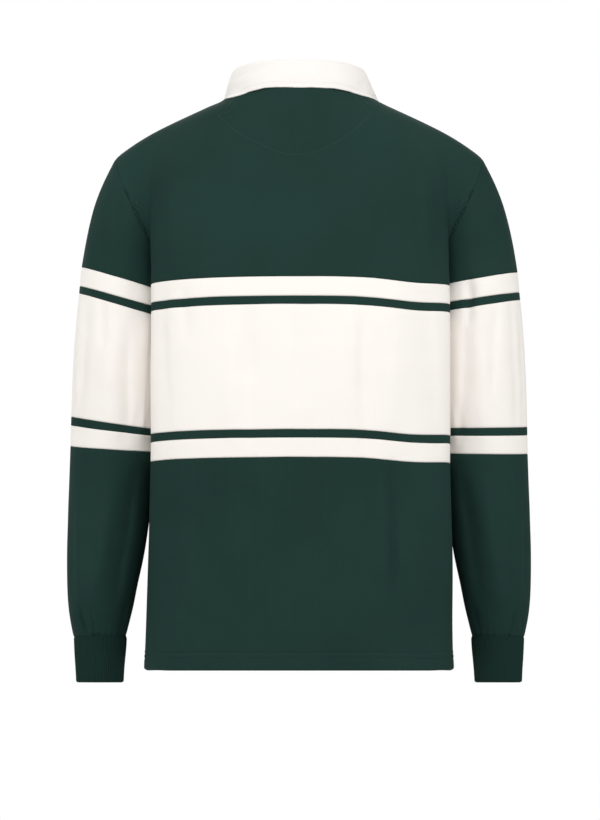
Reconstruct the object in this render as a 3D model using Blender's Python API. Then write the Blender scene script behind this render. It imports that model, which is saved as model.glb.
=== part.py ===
"""A long-sleeved rugby shirt in heavy cotton jersey, filled out as if worn, with no wearer.

Sizes are in millimetres and are scaled to metres as each piece is made. The shirt faces -Y, +Z is
up, and the origin lies at the base of the neck, midway between the shoulders, where a wearer's
shoulders carry it. Each cut piece is a wall of cloth: a grid of outer points and a grid of inner
points, closed along every cut edge. Neighbours along a seam share that seam's line and its
direction through the cloth, and each stops half a seam gap short of it.
"""
import math
from collections import namedtuple

import bpy
import bmesh
import numpy as np

MM = 0.001
COLLECTION_NAME = "rugby_shirt"

# Cloth
JERSEY_WALL = 1.6
RIB_WALL = 2.4
TWILL_WALL = 1.5
SEAM_GAP = 0.3
LAY_GAP = 0.6
SHARP_ANGLE = math.radians(40.0)

# Grid: columns on half a panel, of which the first ones end on the neckline, and rows over the arm
COLUMNS = 14
NECK_COLUMNS = 6
ARM_ROWS = 9

# Body: cross-sections from the hem up to the underarm
HEM_Z = -714.0
UNDERARM_Z = -218.0
SQUARENESS = 3.0
ARM_REACH = 84.0
BodySection = namedtuple("BodySection", "level half_width back_depth front_depth arm_dent")
BODY_SECTIONS = (
    BodySection(HEM_Z, 193.5, 131.0, 123.0, 2.0),
    BodySection(-560.0, 194.0, 131.0, 125.0, 11.0),
    BodySection(-440.0, 196.0, 130.0, 128.0, 25.0),
    BodySection(-320.0, 199.0, 129.0, 131.0, 37.0),
    BodySection(UNDERARM_Z, 200.0, 127.0, 133.0, 43.0),
)

# Bands, from the hem up: the height of cloth in each
BAND_NARROW = 23.5
BAND_STRIPE = 10.0
BAND_WIDE = 151.0
UPPER_BAND_TOP_Z = -240.0
BAND_ARCH = 3.0
RIGHT_DROOP = 4.5
RIGHT_DROOP_X = -140.0
RIGHT_DROOP_HALF_WIDTH = 42.0
BAND_REPEAT = 2 * BAND_NARROW + 2 * BAND_STRIPE + BAND_WIDE
LOWER_BAND_FOOT_Z = UPPER_BAND_TOP_Z - BAND_REPEAT
Band = namedtuple("Band", "name colour height rows")
BANDS = (
    Band("lower_band", "cream", BAND_NARROW, 1),
    Band("lower_stripe", "green", BAND_STRIPE, 1),
    Band("chest_block", "cream", BAND_WIDE, 5),
    Band("upper_stripe", "green", BAND_STRIPE, 1),
    Band("upper_band", "cream", BAND_NARROW, 1),
)
HEM_BLOCK_ROWS = 6

# Shoulders, neck and armholes
SHOULDER_TIP = np.array((228.0, 0.0, -72.0))
NECK_POINT = np.array((80.0, 3.0, 6.0))
SHOULDER_SWELL = 6.5
SHOULDER_SWELL_PLACE = 1.8
UNDERARM = np.array((156.0, 0.0, UNDERARM_Z))
NECK_BACK = np.array((0.0, 62.0, 4.0))
NECK_FRONT = np.array((0.0, -86.0, -62.0))
NECK_DIP_POWER = 1.4
NECK_SLOPE = math.radians(55.0)
SHOULDER_TURN = math.radians(90.0)
TURN_POWER = 1.5
ARMHOLE_DEPTH = {1: 60.0, -1: 57.0}
ARMHOLE_BOW = 12.0
NORMAL_SMOOTHING = 3
ARMHOLE_PULL_START = 0.72
ARMHOLE_PULL_POWER = 1.4
EVEN_COLUMNS = 5
UNDERARM_TURN = np.array((-0.30, 0.0, 0.95))

# Sleeves: cross-sections from the armhole down to the cuff seam. Tilts raise the outer side.
SleeveSection = namedtuple(
    "SleeveSection",
    "level centre_x half_width centre_y half_depth tilt_left tilt_right lean drop_right")
SLEEVE_SECTIONS = (
    SleeveSection(-176.0, 207.8, 68.0, 0.0, 61.0, 46.5, 46.5, 0.0, 0.0),
    SleeveSection(-205.5, 214.3, 60.3, 0.0, 60.0, 29.6, 27.5, 2.0, 0.0),
    SleeveSection(-227.0, 217.8, 57.3, 0.0, 58.0, 16.6, 10.0, 4.0, 0.0),
    SleeveSection(-260.0, 220.6, 57.8, 0.5, 57.4, 16.4, 8.8, 4.6, 1.0),
    SleeveSection(-330.0, 225.7, 57.8, 1.0, 55.0, 13.0, 5.5, 5.0, 3.5),
    SleeveSection(-400.0, 229.4, 56.2, -1.0, 52.0, 9.0, 0.8, 5.0, 5.5),
    SleeveSection(-437.5, 231.2, 55.2, -3.0, 50.0, 3.8, -0.5, 5.0, 5.5),
    SleeveSection(-513.0, 236.7, 52.3, -7.0, 47.0, 3.0, 0.0, 4.0, 3.0),
    SleeveSection(-575.0, 241.8, 48.9, -11.0, 44.0, 1.0, 0.0, 3.0, 0.0),
    SleeveSection(-625.0, 247.3, 42.3, -14.0, 39.5, 0.0, 0.0, 2.0, 0.0),
    SleeveSection(-650.0, 248.6, 39.7, -16.0, 35.5, 0.0, 0.0, 1.0, 0.0),
    SleeveSection(-672.0, 249.0, 33.0, -17.0, 29.5, 0.0, 0.0, 0.0, 0.0),
)
SLEEVE_BAND_TOP = 2
SLEEVE_BAND_FOOT = 6
SLEEVE_CAP_ROWS = 5
SLEEVE_BOW_SHARE = 0.6
FOREARM_ROWS = 7
BODY_CLEARANCE = 2.2

# Cuffs
CUFF_LENGTH = 57.0
CUFF_HALF_WIDTH = 31.2
CUFF_HALF_DEPTH = 28.5
CUFF_END_SHRINK = 1.2
CUFF_FORWARD = 3.0
CUFF_ROWS = 2

# Largest folds. A depth under nought is a trough, one over it a ridge.
FOLD_FADE_POWER = 0.6
Fold = namedtuple("Fold", "face x_top x_foot z_top z_foot half_width depth")
BODY_FOLDS = (
    Fold(1, 60.0, 56.0, -262.0, -440.0, 17.0, -4.0),
    Fold(1, 62.0, 50.0, -450.0, -690.0, 18.0, -3.5),
    Fold(1, -64.0, -70.0, -255.0, -430.0, 15.0, 2.5),
    Fold(1, -100.0, -104.0, -450.0, -640.0, 14.0, 3.0),
    Fold(1, -122.0, -124.0, -450.0, -640.0, 13.0, -4.0),
    Fold(1, 134.0, 152.0, -560.0, -714.0, 17.0, 3.5),
    Fold(-1, 74.0, 66.0, -250.0, -560.0, 18.0, -4.0),
    Fold(-1, -48.0, -60.0, -300.0, -714.0, 18.0, -3.5),
    Fold(-1, 118.0, 124.0, -430.0, -714.0, 17.0, 3.5),
    Fold(-1, -116.0, -108.0, -240.0, -600.0, 16.0, 3.0),
)

# Collar, from the centre of the back at nought, past the neck point at a half, to the front at one:
# the stand's height, and where the fall's lower edge lies
CollarSection = namedtuple("CollarSection", "place stand foot_x foot_y")
COLLAR_SECTIONS = (
    CollarSection(0.0, 35.0, 0.0, 66.5),
    CollarSection(0.25, 33.5, 61.5, 51.0),
    CollarSection(0.5, 27.0, 92.5, 3.0),
    CollarSection(0.625, 24.0, 94.0, -30.0),
    CollarSection(0.75, 21.0, 87.0, -62.0),
    CollarSection(0.875, 18.0, 70.0, -93.0),
    CollarSection(1.0, 17.0, 46.0, -119.0),
)
NECK_AXIS = np.array((0.0, -0.26, 0.966))
STAND_TAPER = 0.05
STAND_ROWS = 2
ROLL_RADIUS = 2.2
ROLL_STEPS = 4
FALL_ROWS = 4
FALL_BULGE = 1.6
FALL_LIFT = 3.0
COLLAR_FRONT_GAP = 1.5
UPRIGHT_ROWS = 2
CELL_SLACK = 0.02

# Placket: two twill strips along the slit in the front, and its buttons
PLACKET_HALF_WIDTH = 16.0
PLACKET_ROWS = 7
SLIT_HALF_WIDTH = 0.3
BUTTON_RADIUS = 6.5
BUTTON_THICKNESS = 3.0
BUTTON_COUNT = 3
BUTTON_SIDES = 20
BUTTON_FIRST_PLACE = 0.6
BUTTON_STANDOFF = 1.15
RimPoint = namedtuple("RimPoint", "radius_share height")
BUTTON_PROFILE = (
    RimPoint(0.0, 0.9),
    RimPoint(0.55, 0.9),
    RimPoint(0.72, 1.5),
    RimPoint(0.92, 1.5),
    RimPoint(1.0, 0.8),
    RimPoint(1.0, -0.8),
    RimPoint(0.92, -1.5),
    RimPoint(0.0, -1.5),
)

COLOURS = {
    "green": (0.016, 0.047, 0.038, 1.0),
    "cream": (0.93, 0.90, 0.86, 1.0),
    "button": (0.86, 0.83, 0.76, 1.0),
}


def clear_scene():
    """Removes every object of the opened scene."""
    for item in list(bpy.data.objects):
        bpy.data.objects.remove(item, do_unlink=True)


def cloth_material(name, colour, roughness):
    """One Principled material of a piece."""
    material = bpy.data.materials.new(name)
    material.use_nodes = True
    shader = material.node_tree.nodes["Principled BSDF"]
    shader.inputs["Base Color"].default_value = COLOURS[colour]
    shader.inputs["Roughness"].default_value = roughness
    shader.inputs["Metallic"].default_value = 0.0
    return material


def unit(vectors):
    """Vectors along the last axis, scaled to length one."""
    vectors = np.asarray(vectors, dtype=float)
    return vectors / np.linalg.norm(vectors, axis=-1, keepdims=True)


def smooth_read(places, rows, at):
    """A row of a table between its own rows, on a smooth curve through each column."""
    places = np.asarray(places, dtype=float)
    rows = np.asarray(rows, dtype=float)
    slopes = np.gradient(rows, places, axis=0)
    low = int(np.clip(np.searchsorted(places, at) - 1, 0, len(places) - 2))
    span = places[low + 1] - places[low]
    part = (at - places[low]) / span
    from_low = (1 + 2 * part) * (1 - part) ** 2 * rows[low]
    from_high = part ** 2 * (3 - 2 * part) * rows[low + 1]
    slope_low = part * (1 - part) ** 2 * span * slopes[low]
    slope_high = part ** 2 * (part - 1) * span * slopes[low + 1]
    return from_low + from_high + slope_low + slope_high


def add_to_collection(item, material):
    """Links a finished object and gives it its material."""
    item.data.materials.append(material)
    bpy.data.collections[COLLECTION_NAME].objects.link(item)


def halves(cell, outer):
    """A four-sided cell's two triangles, parted along its shorter diagonal."""
    first, second, third, fourth = (outer[key] for key in cell)
    if np.linalg.norm(third - first) <= np.linalg.norm(fourth - second):
        return [cell[:3], [cell[0], cell[2], cell[3]]]
    return [[cell[0], cell[1], cell[3]], cell[1:]]


def wall_piece(name, colour, outer, inner, cells, roughness=0.85):
    """A closed wall of cloth over cells of named points, with a rim along each cut edge."""
    mesh = bpy.data.meshes.new(name)
    shell = bmesh.new()
    outside = {key: shell.verts.new(point * MM) for key, point in outer.items()}
    inside = {key: shell.verts.new(point * MM) for key, point in inner.items()}
    edges = {}
    for cell in cells:
        for half in halves(cell, outer):
            shell.faces.new([outside[key] for key in half])
            shell.faces.new([inside[key] for key in reversed(half)])
        for start, end in zip(cell, cell[1:] + cell[:1]):
            edges[(start, end)] = True
    for start, end in edges:
        if (end, start) not in edges:
            shell.faces.new((outside[end], outside[start], inside[start], inside[end]))
    bmesh.ops.recalc_face_normals(shell, faces=shell.faces)
    shell.to_mesh(mesh)
    shell.free()
    mesh.shade_smooth()
    mesh.set_sharp_from_angle(angle=SHARP_ANGLE)
    add_to_collection(bpy.data.objects.new(name, mesh), cloth_material(name, colour, roughness))


def shortened(points, inner, gap, at_start, at_end):
    """Rows of outer and inner points whose first and last rows stop short of a seam."""
    points = points.copy()
    inner = inner.copy()
    for wanted, row, neighbour in ((at_start, 0, 1), (at_end, -1, -2)):
        if wanted:
            shift = unit(points[neighbour] - points[row]) * gap
            points[row] = points[row] + shift
            inner[row] = inner[row] + shift
    return points, inner


def grid_normals(points, closed):
    """Directions square to a grid of points, from each point's neighbours."""
    if closed:
        across = np.roll(points, -1, axis=1) - np.roll(points, 1, axis=1)
    else:
        across = np.gradient(points, axis=1)
    along = np.gradient(points, axis=0)
    return unit(np.cross(across, along))


def arm_dent_at(dent, depth_y):
    """How far the sleeve presses the body's side in, at a distance from the side seam."""
    share = np.clip(1.0 - (depth_y / ARM_REACH) ** 2, 0.0, 1.0)
    return dent * share ** 2


def body_section(level):
    """The body's cross-section at a height."""
    rows = [section[1:] for section in BODY_SECTIONS]
    values = smooth_read([section.level for section in BODY_SECTIONS], rows, level)
    return BodySection(level, *values)


def side_of_body(level, depth_y):
    """How far the body's side stands out at a height and a distance from the side seam."""
    section = body_section(level)
    depth = section.back_depth if depth_y > 0 else section.front_depth
    share = min(abs(depth_y) / depth, 1.0)
    full = section.half_width * (1.0 - share ** SQUARENESS) ** (1.0 / SQUARENESS)
    return full - arm_dent_at(section.arm_dent, depth_y)


def column_marks(length, count):
    """Distances along a line for its columns: the first is the placket's edge, the rest are even."""
    return np.concatenate(([0.0], np.linspace(PLACKET_HALF_WIDTH, length, count)))


def spread(line, count):
    """Points of a dense line at its columns."""
    steps = np.linalg.norm(np.diff(line, axis=0), axis=1)
    length = np.concatenate(([0.0], np.cumsum(steps)))
    marks = column_marks(length[-1], count)
    return np.stack([np.interp(marks, length, line[:, axis]) for axis in range(3)], axis=1)


def evened(line):
    """The same line with its points at even distances."""
    steps = np.linalg.norm(np.diff(line, axis=0), axis=1)
    length = np.concatenate(([0.0], np.cumsum(steps)))
    marks = np.linspace(0.0, length[-1], len(line))
    return np.stack([np.interp(marks, length, line[:, axis]) for axis in range(3)], axis=1)


def level_line(level, face):
    """Half of a panel's cross-section at a height, from its centre to the side seam."""
    section = body_section(level)
    depth = section.back_depth if face > 0 else section.front_depth
    angle = np.linspace(0.0, math.pi / 2, 300)
    x = section.half_width * np.sin(angle) ** (2.0 / SQUARENESS)
    y = depth * np.abs(np.cos(angle)) ** (2.0 / SQUARENESS)
    x = x - arm_dent_at(section.arm_dent, y)
    line = spread(np.stack([x, face * y, np.full_like(x, level)], axis=1), COLUMNS)
    line[-1, 1] = 0.0
    return line


def arched(line, level):
    """The line raised towards its centre, as the bands are."""
    share = np.clip((level - HEM_Z) / (UPPER_BAND_TOP_Z - HEM_Z), 0.0, 1.0)
    middle = 1.0 - (line[:, 0] / line[:, 0].max()) ** 2
    raised = line.copy()
    raised[:, 2] += BAND_ARCH * share * np.clip(middle, 0.0, 1.0)
    return raised


def drooped(points):
    """The points of a whole panel, with the bands hanging a little lower on the right."""
    x = points[:, :, 0]
    z = points[:, :, 2]
    near = np.exp(-((x - RIGHT_DROOP_X) / RIGHT_DROOP_HALF_WIDTH) ** 2)
    from_hem = np.clip((z - HEM_Z) / (LOWER_BAND_FOOT_Z - HEM_Z), 0.0, 1.0)
    to_arm = np.clip((UNDERARM_Z - z) / (UNDERARM_Z - UPPER_BAND_TOP_Z), 0.0, 1.0)
    lowered = points.copy()
    lowered[:, :, 2] -= RIGHT_DROOP * near * from_hem * to_arm
    return lowered


def top_line(face):
    """Half of a panel's top edge: the neckline from its centre, then the shoulder seam."""
    centre = NECK_BACK if face > 0 else NECK_FRONT
    angle = np.linspace(0.0, math.pi / 2, 200)[:, None]
    side = NECK_POINT * np.array((0.0, 1.0, 1.0))
    dip = np.concatenate((np.cos(angle), np.cos(angle), np.cos(angle) ** NECK_DIP_POWER), axis=1)
    neckline = side + (centre - side) * dip
    neckline = neckline + np.array((NECK_POINT[0], 0.0, 0.0)) * np.sin(angle)
    neckline = spread(neckline, NECK_COLUMNS)
    share = np.linspace(0.0, 1.0, COLUMNS - NECK_COLUMNS + 1)[1:, None]
    seam = NECK_POINT + (SHOULDER_TIP - NECK_POINT) * share
    seam[:, 2] += SHOULDER_SWELL * np.sin(math.pi * share[:, 0] ** SHOULDER_SWELL_PLACE)
    return np.concatenate((neckline, seam))


def armhole(angle, face):
    """A point of the left armhole, from the shoulder tip at nought to the underarm at pi."""
    middle = (SHOULDER_TIP + UNDERARM) / 2
    reach = (SHOULDER_TIP - UNDERARM) / 2
    away = unit(np.array((reach[2], 0.0, -reach[0])))
    swell = math.sin(angle)
    point = middle + reach * math.cos(angle) + away * ARMHOLE_BOW * swell
    point[1] += face * ARMHOLE_DEPTH[face] * swell
    return point


def armhole_frame(angle, face):
    """Two directions at the armhole seam: out through the cloth, and from body to sleeve."""
    reach = unit(SHOULDER_TIP - UNDERARM)
    low = (1.0 - math.cos(angle)) / 2
    turn = unit(reach * (1.0 - low) + UNDERARM_TURN * low)
    through = unit(turn * math.cos(angle) + np.array((0.0, face * math.sin(angle), 0.0)))
    step = 0.01
    along = unit(armhole(angle + step, face) - armhole(angle - step, face))
    onward = unit(np.cross(along, through))
    if onward[0] < 0:
        onward = -onward
    return through, onward


def fold_offset(point, face):
    """How far the folds lift or sink the cloth at a point."""
    offset = 0.0
    for fold in BODY_FOLDS:
        if fold.face != face:
            continue
        share = (fold.z_top - point[2]) / (fold.z_top - fold.z_foot)
        if not 0.0 < share < 1.0:
            continue
        centre = fold.x_top + (fold.x_foot - fold.x_top) * share
        open_foot = fold.z_foot <= HEM_Z
        fade = math.sin(math.pi * share * (0.5 if open_foot else 1.0)) ** FOLD_FADE_POWER
        offset += fold.depth * fade * math.exp(-((point[0] - centre) / fold.half_width) ** 2)
    return offset


def half_panel(face):
    """Rows of outer points of half a panel, from the hem to the top edge."""
    levels = [HEM_Z + (LOWER_BAND_FOOT_Z - HEM_Z) * row / HEM_BLOCK_ROWS for row in range(HEM_BLOCK_ROWS)]
    level = LOWER_BAND_FOOT_Z
    for band in BANDS:
        levels += [level + band.height * row / band.rows for row in range(band.rows)]
        level += band.height
    levels.append(UPPER_BAND_TOP_Z)
    rows = [arched(level_line(level, face), level) for level in levels]
    base = arched(level_line(UNDERARM_Z, face), UNDERARM_Z)
    top = top_line(face)
    places = np.arange(COLUMNS + 1)
    turn = NECK_SLOPE + (SHOULDER_TURN - NECK_SLOPE) * np.clip(places / NECK_COLUMNS, 0.0, 1.0) ** TURN_POWER
    pull = np.clip((places / COLUMNS - ARMHOLE_PULL_START) / (1.0 - ARMHOLE_PULL_START), 0.0, 1.0)
    for row in range(ARM_ROWS + 1):
        rise = (1.0 - math.cos(math.pi * row / ARM_ROWS)) / 2
        around = np.arcsin(rise * np.sin(turn))
        left = (np.cos(around) - np.cos(turn)) / (1.0 - np.cos(turn))
        line = top + (base - top) * left[:, None]
        line[:, 2] = base[:, 2] + (top[:, 2] - base[:, 2]) * rise
        edge = armhole(math.pi * (1.0 - row / ARM_ROWS), face)
        line = line + (pull ** ARMHOLE_PULL_POWER)[:, None] * (edge - line[-1])
        line[-EVEN_COLUMNS:] = evened(line[-EVEN_COLUMNS:])
        rows.append(line)
    return np.array(rows)


def whole_panel(face):
    """Outer and inner points of a whole panel, with its cut edges short of their seams."""
    half = half_panel(face)
    mirror = np.array((-1.0, 1.0, 1.0))
    points = drooped(np.concatenate((half[:, :0:-1] * mirror, half), axis=1))
    normals = grid_normals(points, closed=False)
    if normals[len(points) // 2, COLUMNS, 1] * face < 0:
        normals = -normals
    offsets = np.array([[fold_offset(point, face) for point in row] for row in points])
    points = points + normals * offsets[:, :, None]
    normals = grid_normals(points, closed=False)
    if normals[len(points) // 2, COLUMNS, 1] * face < 0:
        normals = -normals
    underarm_row = len(points) - 1 - ARM_ROWS
    seam = unit(np.gradient(half[-1, NECK_COLUMNS:], axis=0))
    shoulder_normals = unit(np.stack([-seam[:, 2], np.zeros(len(seam)), seam[:, 0]], axis=1))
    shift = np.zeros_like(points)
    for side, column in ((-1, 0), (1, -1)):
        to_side = np.array((float(side), 1.0, 1.0))
        normals[:underarm_row, column, 1] = 0.0
        normals[:underarm_row, column] = unit(normals[:underarm_row, column])
        shift[:underarm_row + 1, column, 1] += face * SEAM_GAP / 2
        for row in range(ARM_ROWS + 1):
            through, onward = armhole_frame(math.pi * (1.0 - row / ARM_ROWS), face)
            normals[underarm_row + row, column] = through * to_side
            shift[underarm_row + row, column] -= onward * to_side * SEAM_GAP / 2
        for place in range(NECK_COLUMNS, COLUMNS):
            normals[-1, COLUMNS + side * place] = shoulder_normals[place - NECK_COLUMNS] * to_side
        for _ in range(NORMAL_SMOOTHING):
            for row in range(underarm_row, len(points) - 1):
                for place in (column - side, column - 2 * side):
                    near = normals[row - 1:row + 2, [place - 1, place, place + 1]]
                    normals[row, place] = unit(near.sum(axis=(0, 1)))
        for place in range(NECK_COLUMNS, COLUMNS + 1):
            shift[-1, COLUMNS + side * place, 1] += face * SEAM_GAP / 2
    points = points + shift
    return points, points - normals * JERSEY_WALL


def band_rows():
    """Names, colours and row ranges of a panel's pieces, from the hem up."""
    pieces = [("hem_block", "green", 0, HEM_BLOCK_ROWS)]
    row = HEM_BLOCK_ROWS
    for band in BANDS:
        pieces.append((band.name, band.colour, row, row + band.rows))
        row += band.rows
    pieces.append(("shoulder", "green", row, row + 1 + ARM_ROWS))
    return pieces


def grid_cells(rows, columns, closed=False):
    """Corners of each cell of a grid, in order round the cell."""
    cells = []
    for row in range(rows - 1):
        for column in range(columns if closed else columns - 1):
            following = (column + 1) % columns
            cells.append([(row, column), (row, following), (row + 1, following), (row + 1, column)])
    return cells


def keyed(points):
    """A grid of points by its row and column."""
    return {(row, column): points[row, column]
            for row in range(points.shape[0]) for column in range(points.shape[1])}


def slit_down(outer, inner, cells, first_row):
    """Parts a panel along its centre column, above a row, by a narrow slit."""
    for side in (-1, 1):
        for key in [key for key in outer if key[1] == COLUMNS and key[0] > first_row]:
            shifted = np.array((side * SLIT_HALF_WIDTH, 0.0, 0.0))
            outer[key + (side,)] = outer[key] + shifted
            inner[key + (side,)] = inner[key] + shifted
    parted = []
    for cell in cells:
        side = 1 if max(key[1] for key in cell) > COLUMNS else -1
        parted.append([key + (side,) if key + (side,) in outer else key for key in cell])
    for key in [key for key in outer if len(key) == 2 and key + (1,) in outer]:
        del outer[key]
        del inner[key]
    return parted


def make_panels():
    """The back and the front, cut into their bands. Returns the points of both shoulder pieces."""
    shoulders = {}
    for label, face in (("back", 1), ("front", -1)):
        points, inside = whole_panel(face)
        last = len(points) - 1
        for name, colour, first, final in band_rows():
            outer, inner = shortened(points[first:final + 1], inside[first:final + 1],
                                     SEAM_GAP / 2, first > 0, final < last)
            cells = grid_cells(outer.shape[0], outer.shape[1])
            outer_keys = keyed(outer)
            inner_keys = keyed(inner)
            if name == "shoulder":
                shoulders[face] = (outer, inner)
                if face < 0:
                    foot = outer.shape[0] - 1 - PLACKET_ROWS
                    cells = slit_down(outer_keys, inner_keys, cells, foot)
            wall_piece(f"{label}_{name}", colour, outer_keys, inner_keys, cells)
    return shoulders


def sleeve_rows(side):
    """Each section's ring of a sleeve, in its own order, and where it lies along the sleeve."""
    middle = (SHOULDER_TIP + UNDERARM) / 2
    reach = np.linalg.norm(SHOULDER_TIP - UNDERARM) / 2
    tilt = math.degrees(math.asin((SHOULDER_TIP - UNDERARM)[2] / (2 * reach)))
    start = SleeveSection(middle[2], middle[0], reach, 0.0, ARMHOLE_DEPTH[1], tilt, tilt, 0.0, 0.0)
    sections = (start,) + SLEEVE_SECTIONS
    centres = np.array([(part.centre_x, part.centre_y, part.level) for part in sections])
    steps = np.linalg.norm(np.diff(centres, axis=0), axis=1)
    places = np.concatenate(([0.0], np.cumsum(steps)))
    tilts = [part.tilt_left if side > 0 else part.tilt_right for part in sections]
    rows = [(part.level - (part.drop_right if side < 0 else 0.0), part.centre_x, part.half_width,
             part.centre_y, part.half_depth, tilts[index], part.lean)
            for index, part in enumerate(sections)]
    return places, np.array(rows)


def sleeve_ring(side, places, rows, at):
    """A ring of outer points of a sleeve at a distance along it."""
    level, centre_x, half_width, centre_y, half_depth, tilt, lean = smooth_read(places, rows, at)
    tilt = math.radians(tilt)
    bow_left = max(0.0, 1.0 - at / places[2])
    ring = []
    for step in range(2 * ARM_ROWS):
        angle = math.pi * step / ARM_ROWS
        outward = half_width * math.cos(angle)
        x = centre_x + outward * math.cos(tilt)
        x += ARMHOLE_BOW * SLEEVE_BOW_SHARE * bow_left * abs(math.sin(angle))
        y = centre_y + half_depth * math.sin(angle)
        z = level + outward * math.sin(tilt) - (y - centre_y) * math.tan(math.radians(lean))
        if z < UNDERARM_Z and abs(y) < ARM_REACH:
            x = max(x, side_of_body(max(z, HEM_Z), y) + BODY_CLEARANCE)
        ring.append((side * x, y, z))
    return np.array(ring)


def make_sleeve(label, side):
    """A sleeve from the armhole to the cuff seam, cut into its bands, and its cuff."""
    places, rows = sleeve_rows(side)
    top = places[SLEEVE_BAND_TOP + 1]
    foot = places[SLEEVE_BAND_FOOT + 1]
    marks = list(np.linspace(0.0, top, SLEEVE_CAP_ROWS + 1)[:-1])
    pieces = [("cap", "green", 0, SLEEVE_CAP_ROWS)]
    mark = top
    for band in reversed(BANDS):
        step = band.height / BAND_REPEAT * (foot - top) / band.rows
        marks += [mark + step * row for row in range(band.rows)]
        pieces.append((band.name, band.colour, pieces[-1][3], pieces[-1][3] + band.rows))
        mark += step * band.rows
    marks += list(np.linspace(foot, places[-1], FOREARM_ROWS + 1))
    pieces.append(("forearm", "green", pieces[-1][3], pieces[-1][3] + FOREARM_ROWS))
    points = np.array([sleeve_ring(side, places, rows, at) for at in marks])
    frames = []
    for step in range(2 * ARM_ROWS):
        face = 1 if step <= ARM_ROWS else -1
        angle = math.pi * (step if step <= ARM_ROWS else 2 * ARM_ROWS - step) / ARM_ROWS
        frames.append((armhole(angle, face), *armhole_frame(angle, face)))
    to_side = np.array((float(side), 1.0, 1.0))
    points[0] = [(point + onward * SEAM_GAP / 2) * to_side for point, _, onward in frames]
    normals = grid_normals(points, closed=True)
    middle_row = len(points) // 2
    centre = points[middle_row].mean(axis=0)
    if np.dot(normals[middle_row, 0], points[middle_row, 0] - centre) < 0:
        normals = -normals
    normals[0] = [through * to_side for _, through, _ in frames]
    normals[1] = unit(normals[0] + normals[1] + normals[2])
    normals[-1, :, 2] = 0.0
    normals[-1] = unit(normals[-1])
    inside = points - normals * JERSEY_WALL
    for name, colour, first, final in pieces:
        outer, inner = shortened(points[first:final + 1], inside[first:final + 1],
                                 SEAM_GAP / 2, first > 0, True)
        cells = grid_cells(outer.shape[0], outer.shape[1], closed=True)
        wall_piece(f"sleeve_{label}_{name}", colour, keyed(outer), keyed(inner), cells)
    make_cuff(label, side)


def make_cuff(label, side):
    """A ribbed cuff, a short tube under the sleeve's end."""
    last = SLEEVE_SECTIONS[-1]
    outer = []
    inner = []
    for row in range(CUFF_ROWS + 1):
        share = row / CUFF_ROWS
        z = last.level - SEAM_GAP / 2 - CUFF_LENGTH * share
        shrink = CUFF_END_SHRINK * share
        rings = []
        for wall in (0.0, RIB_WALL):
            half_width = CUFF_HALF_WIDTH - shrink - wall
            half_depth = CUFF_HALF_DEPTH - shrink - wall
            ring = []
            for step in range(2 * ARM_ROWS):
                angle = math.pi * step / ARM_ROWS
                x = last.centre_x + half_width * math.cos(angle)
                y = last.centre_y - CUFF_FORWARD * share + half_depth * math.sin(angle)
                ring.append((side * x, y, z))
            rings.append(ring)
        outer.append(rings[0])
        inner.append(rings[1])
    cells = grid_cells(CUFF_ROWS + 1, 2 * ARM_ROWS, closed=True)
    wall_piece(f"cuff_{label}", "green", keyed(np.array(outer)), keyed(np.array(inner)), cells)


def neckline_line(shoulders):
    """The neckline's points from the front centre on the right, round the back, to the left."""
    back = shoulders[1][0][-1]
    front = shoulders[-1][0][-1]
    middle = COLUMNS
    right_front = front[middle - NECK_COLUMNS + 1:middle + 1][::-1]
    left_front = front[middle:middle + NECK_COLUMNS]
    round_back = back[middle - NECK_COLUMNS:middle + NECK_COLUMNS + 1].copy()
    round_back[[0, -1], 1] = NECK_POINT[1]
    line = np.concatenate((right_front, round_back, left_front[::-1]))
    line[0, 0] = -COLLAR_FRONT_GAP / 2
    line[-1, 0] = COLLAR_FRONT_GAP / 2
    return line


def cloth_height(shoulders, x, y):
    """The height of the cloth's outer face over a place, between the points of both panels."""
    best = None
    for outer, _ in shoulders.values():
        rows = outer[UPRIGHT_ROWS:]
        for row in range(rows.shape[0] - 1):
            for column in range(rows.shape[1] - 1):
                corners = rows[row:row + 2, column:column + 2].reshape(4, 3)
                for a, b, c in ((0, 1, 2), (1, 3, 2)):
                    edges = np.array((corners[b] - corners[a], corners[c] - corners[a])).T[:2]
                    area = np.linalg.det(edges)
                    if abs(area) < 1e-6:
                        continue
                    share = np.linalg.solve(edges, np.array((x, y)) - corners[a][:2])
                    if share.min() < -CELL_SLACK or share.sum() > 1.0 + CELL_SLACK:
                        continue
                    height = (corners[a] + (corners[b] - corners[a]) * share[0]
                              + (corners[c] - corners[a]) * share[1])[2]
                    best = height if best is None else max(best, height)
    return best


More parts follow.
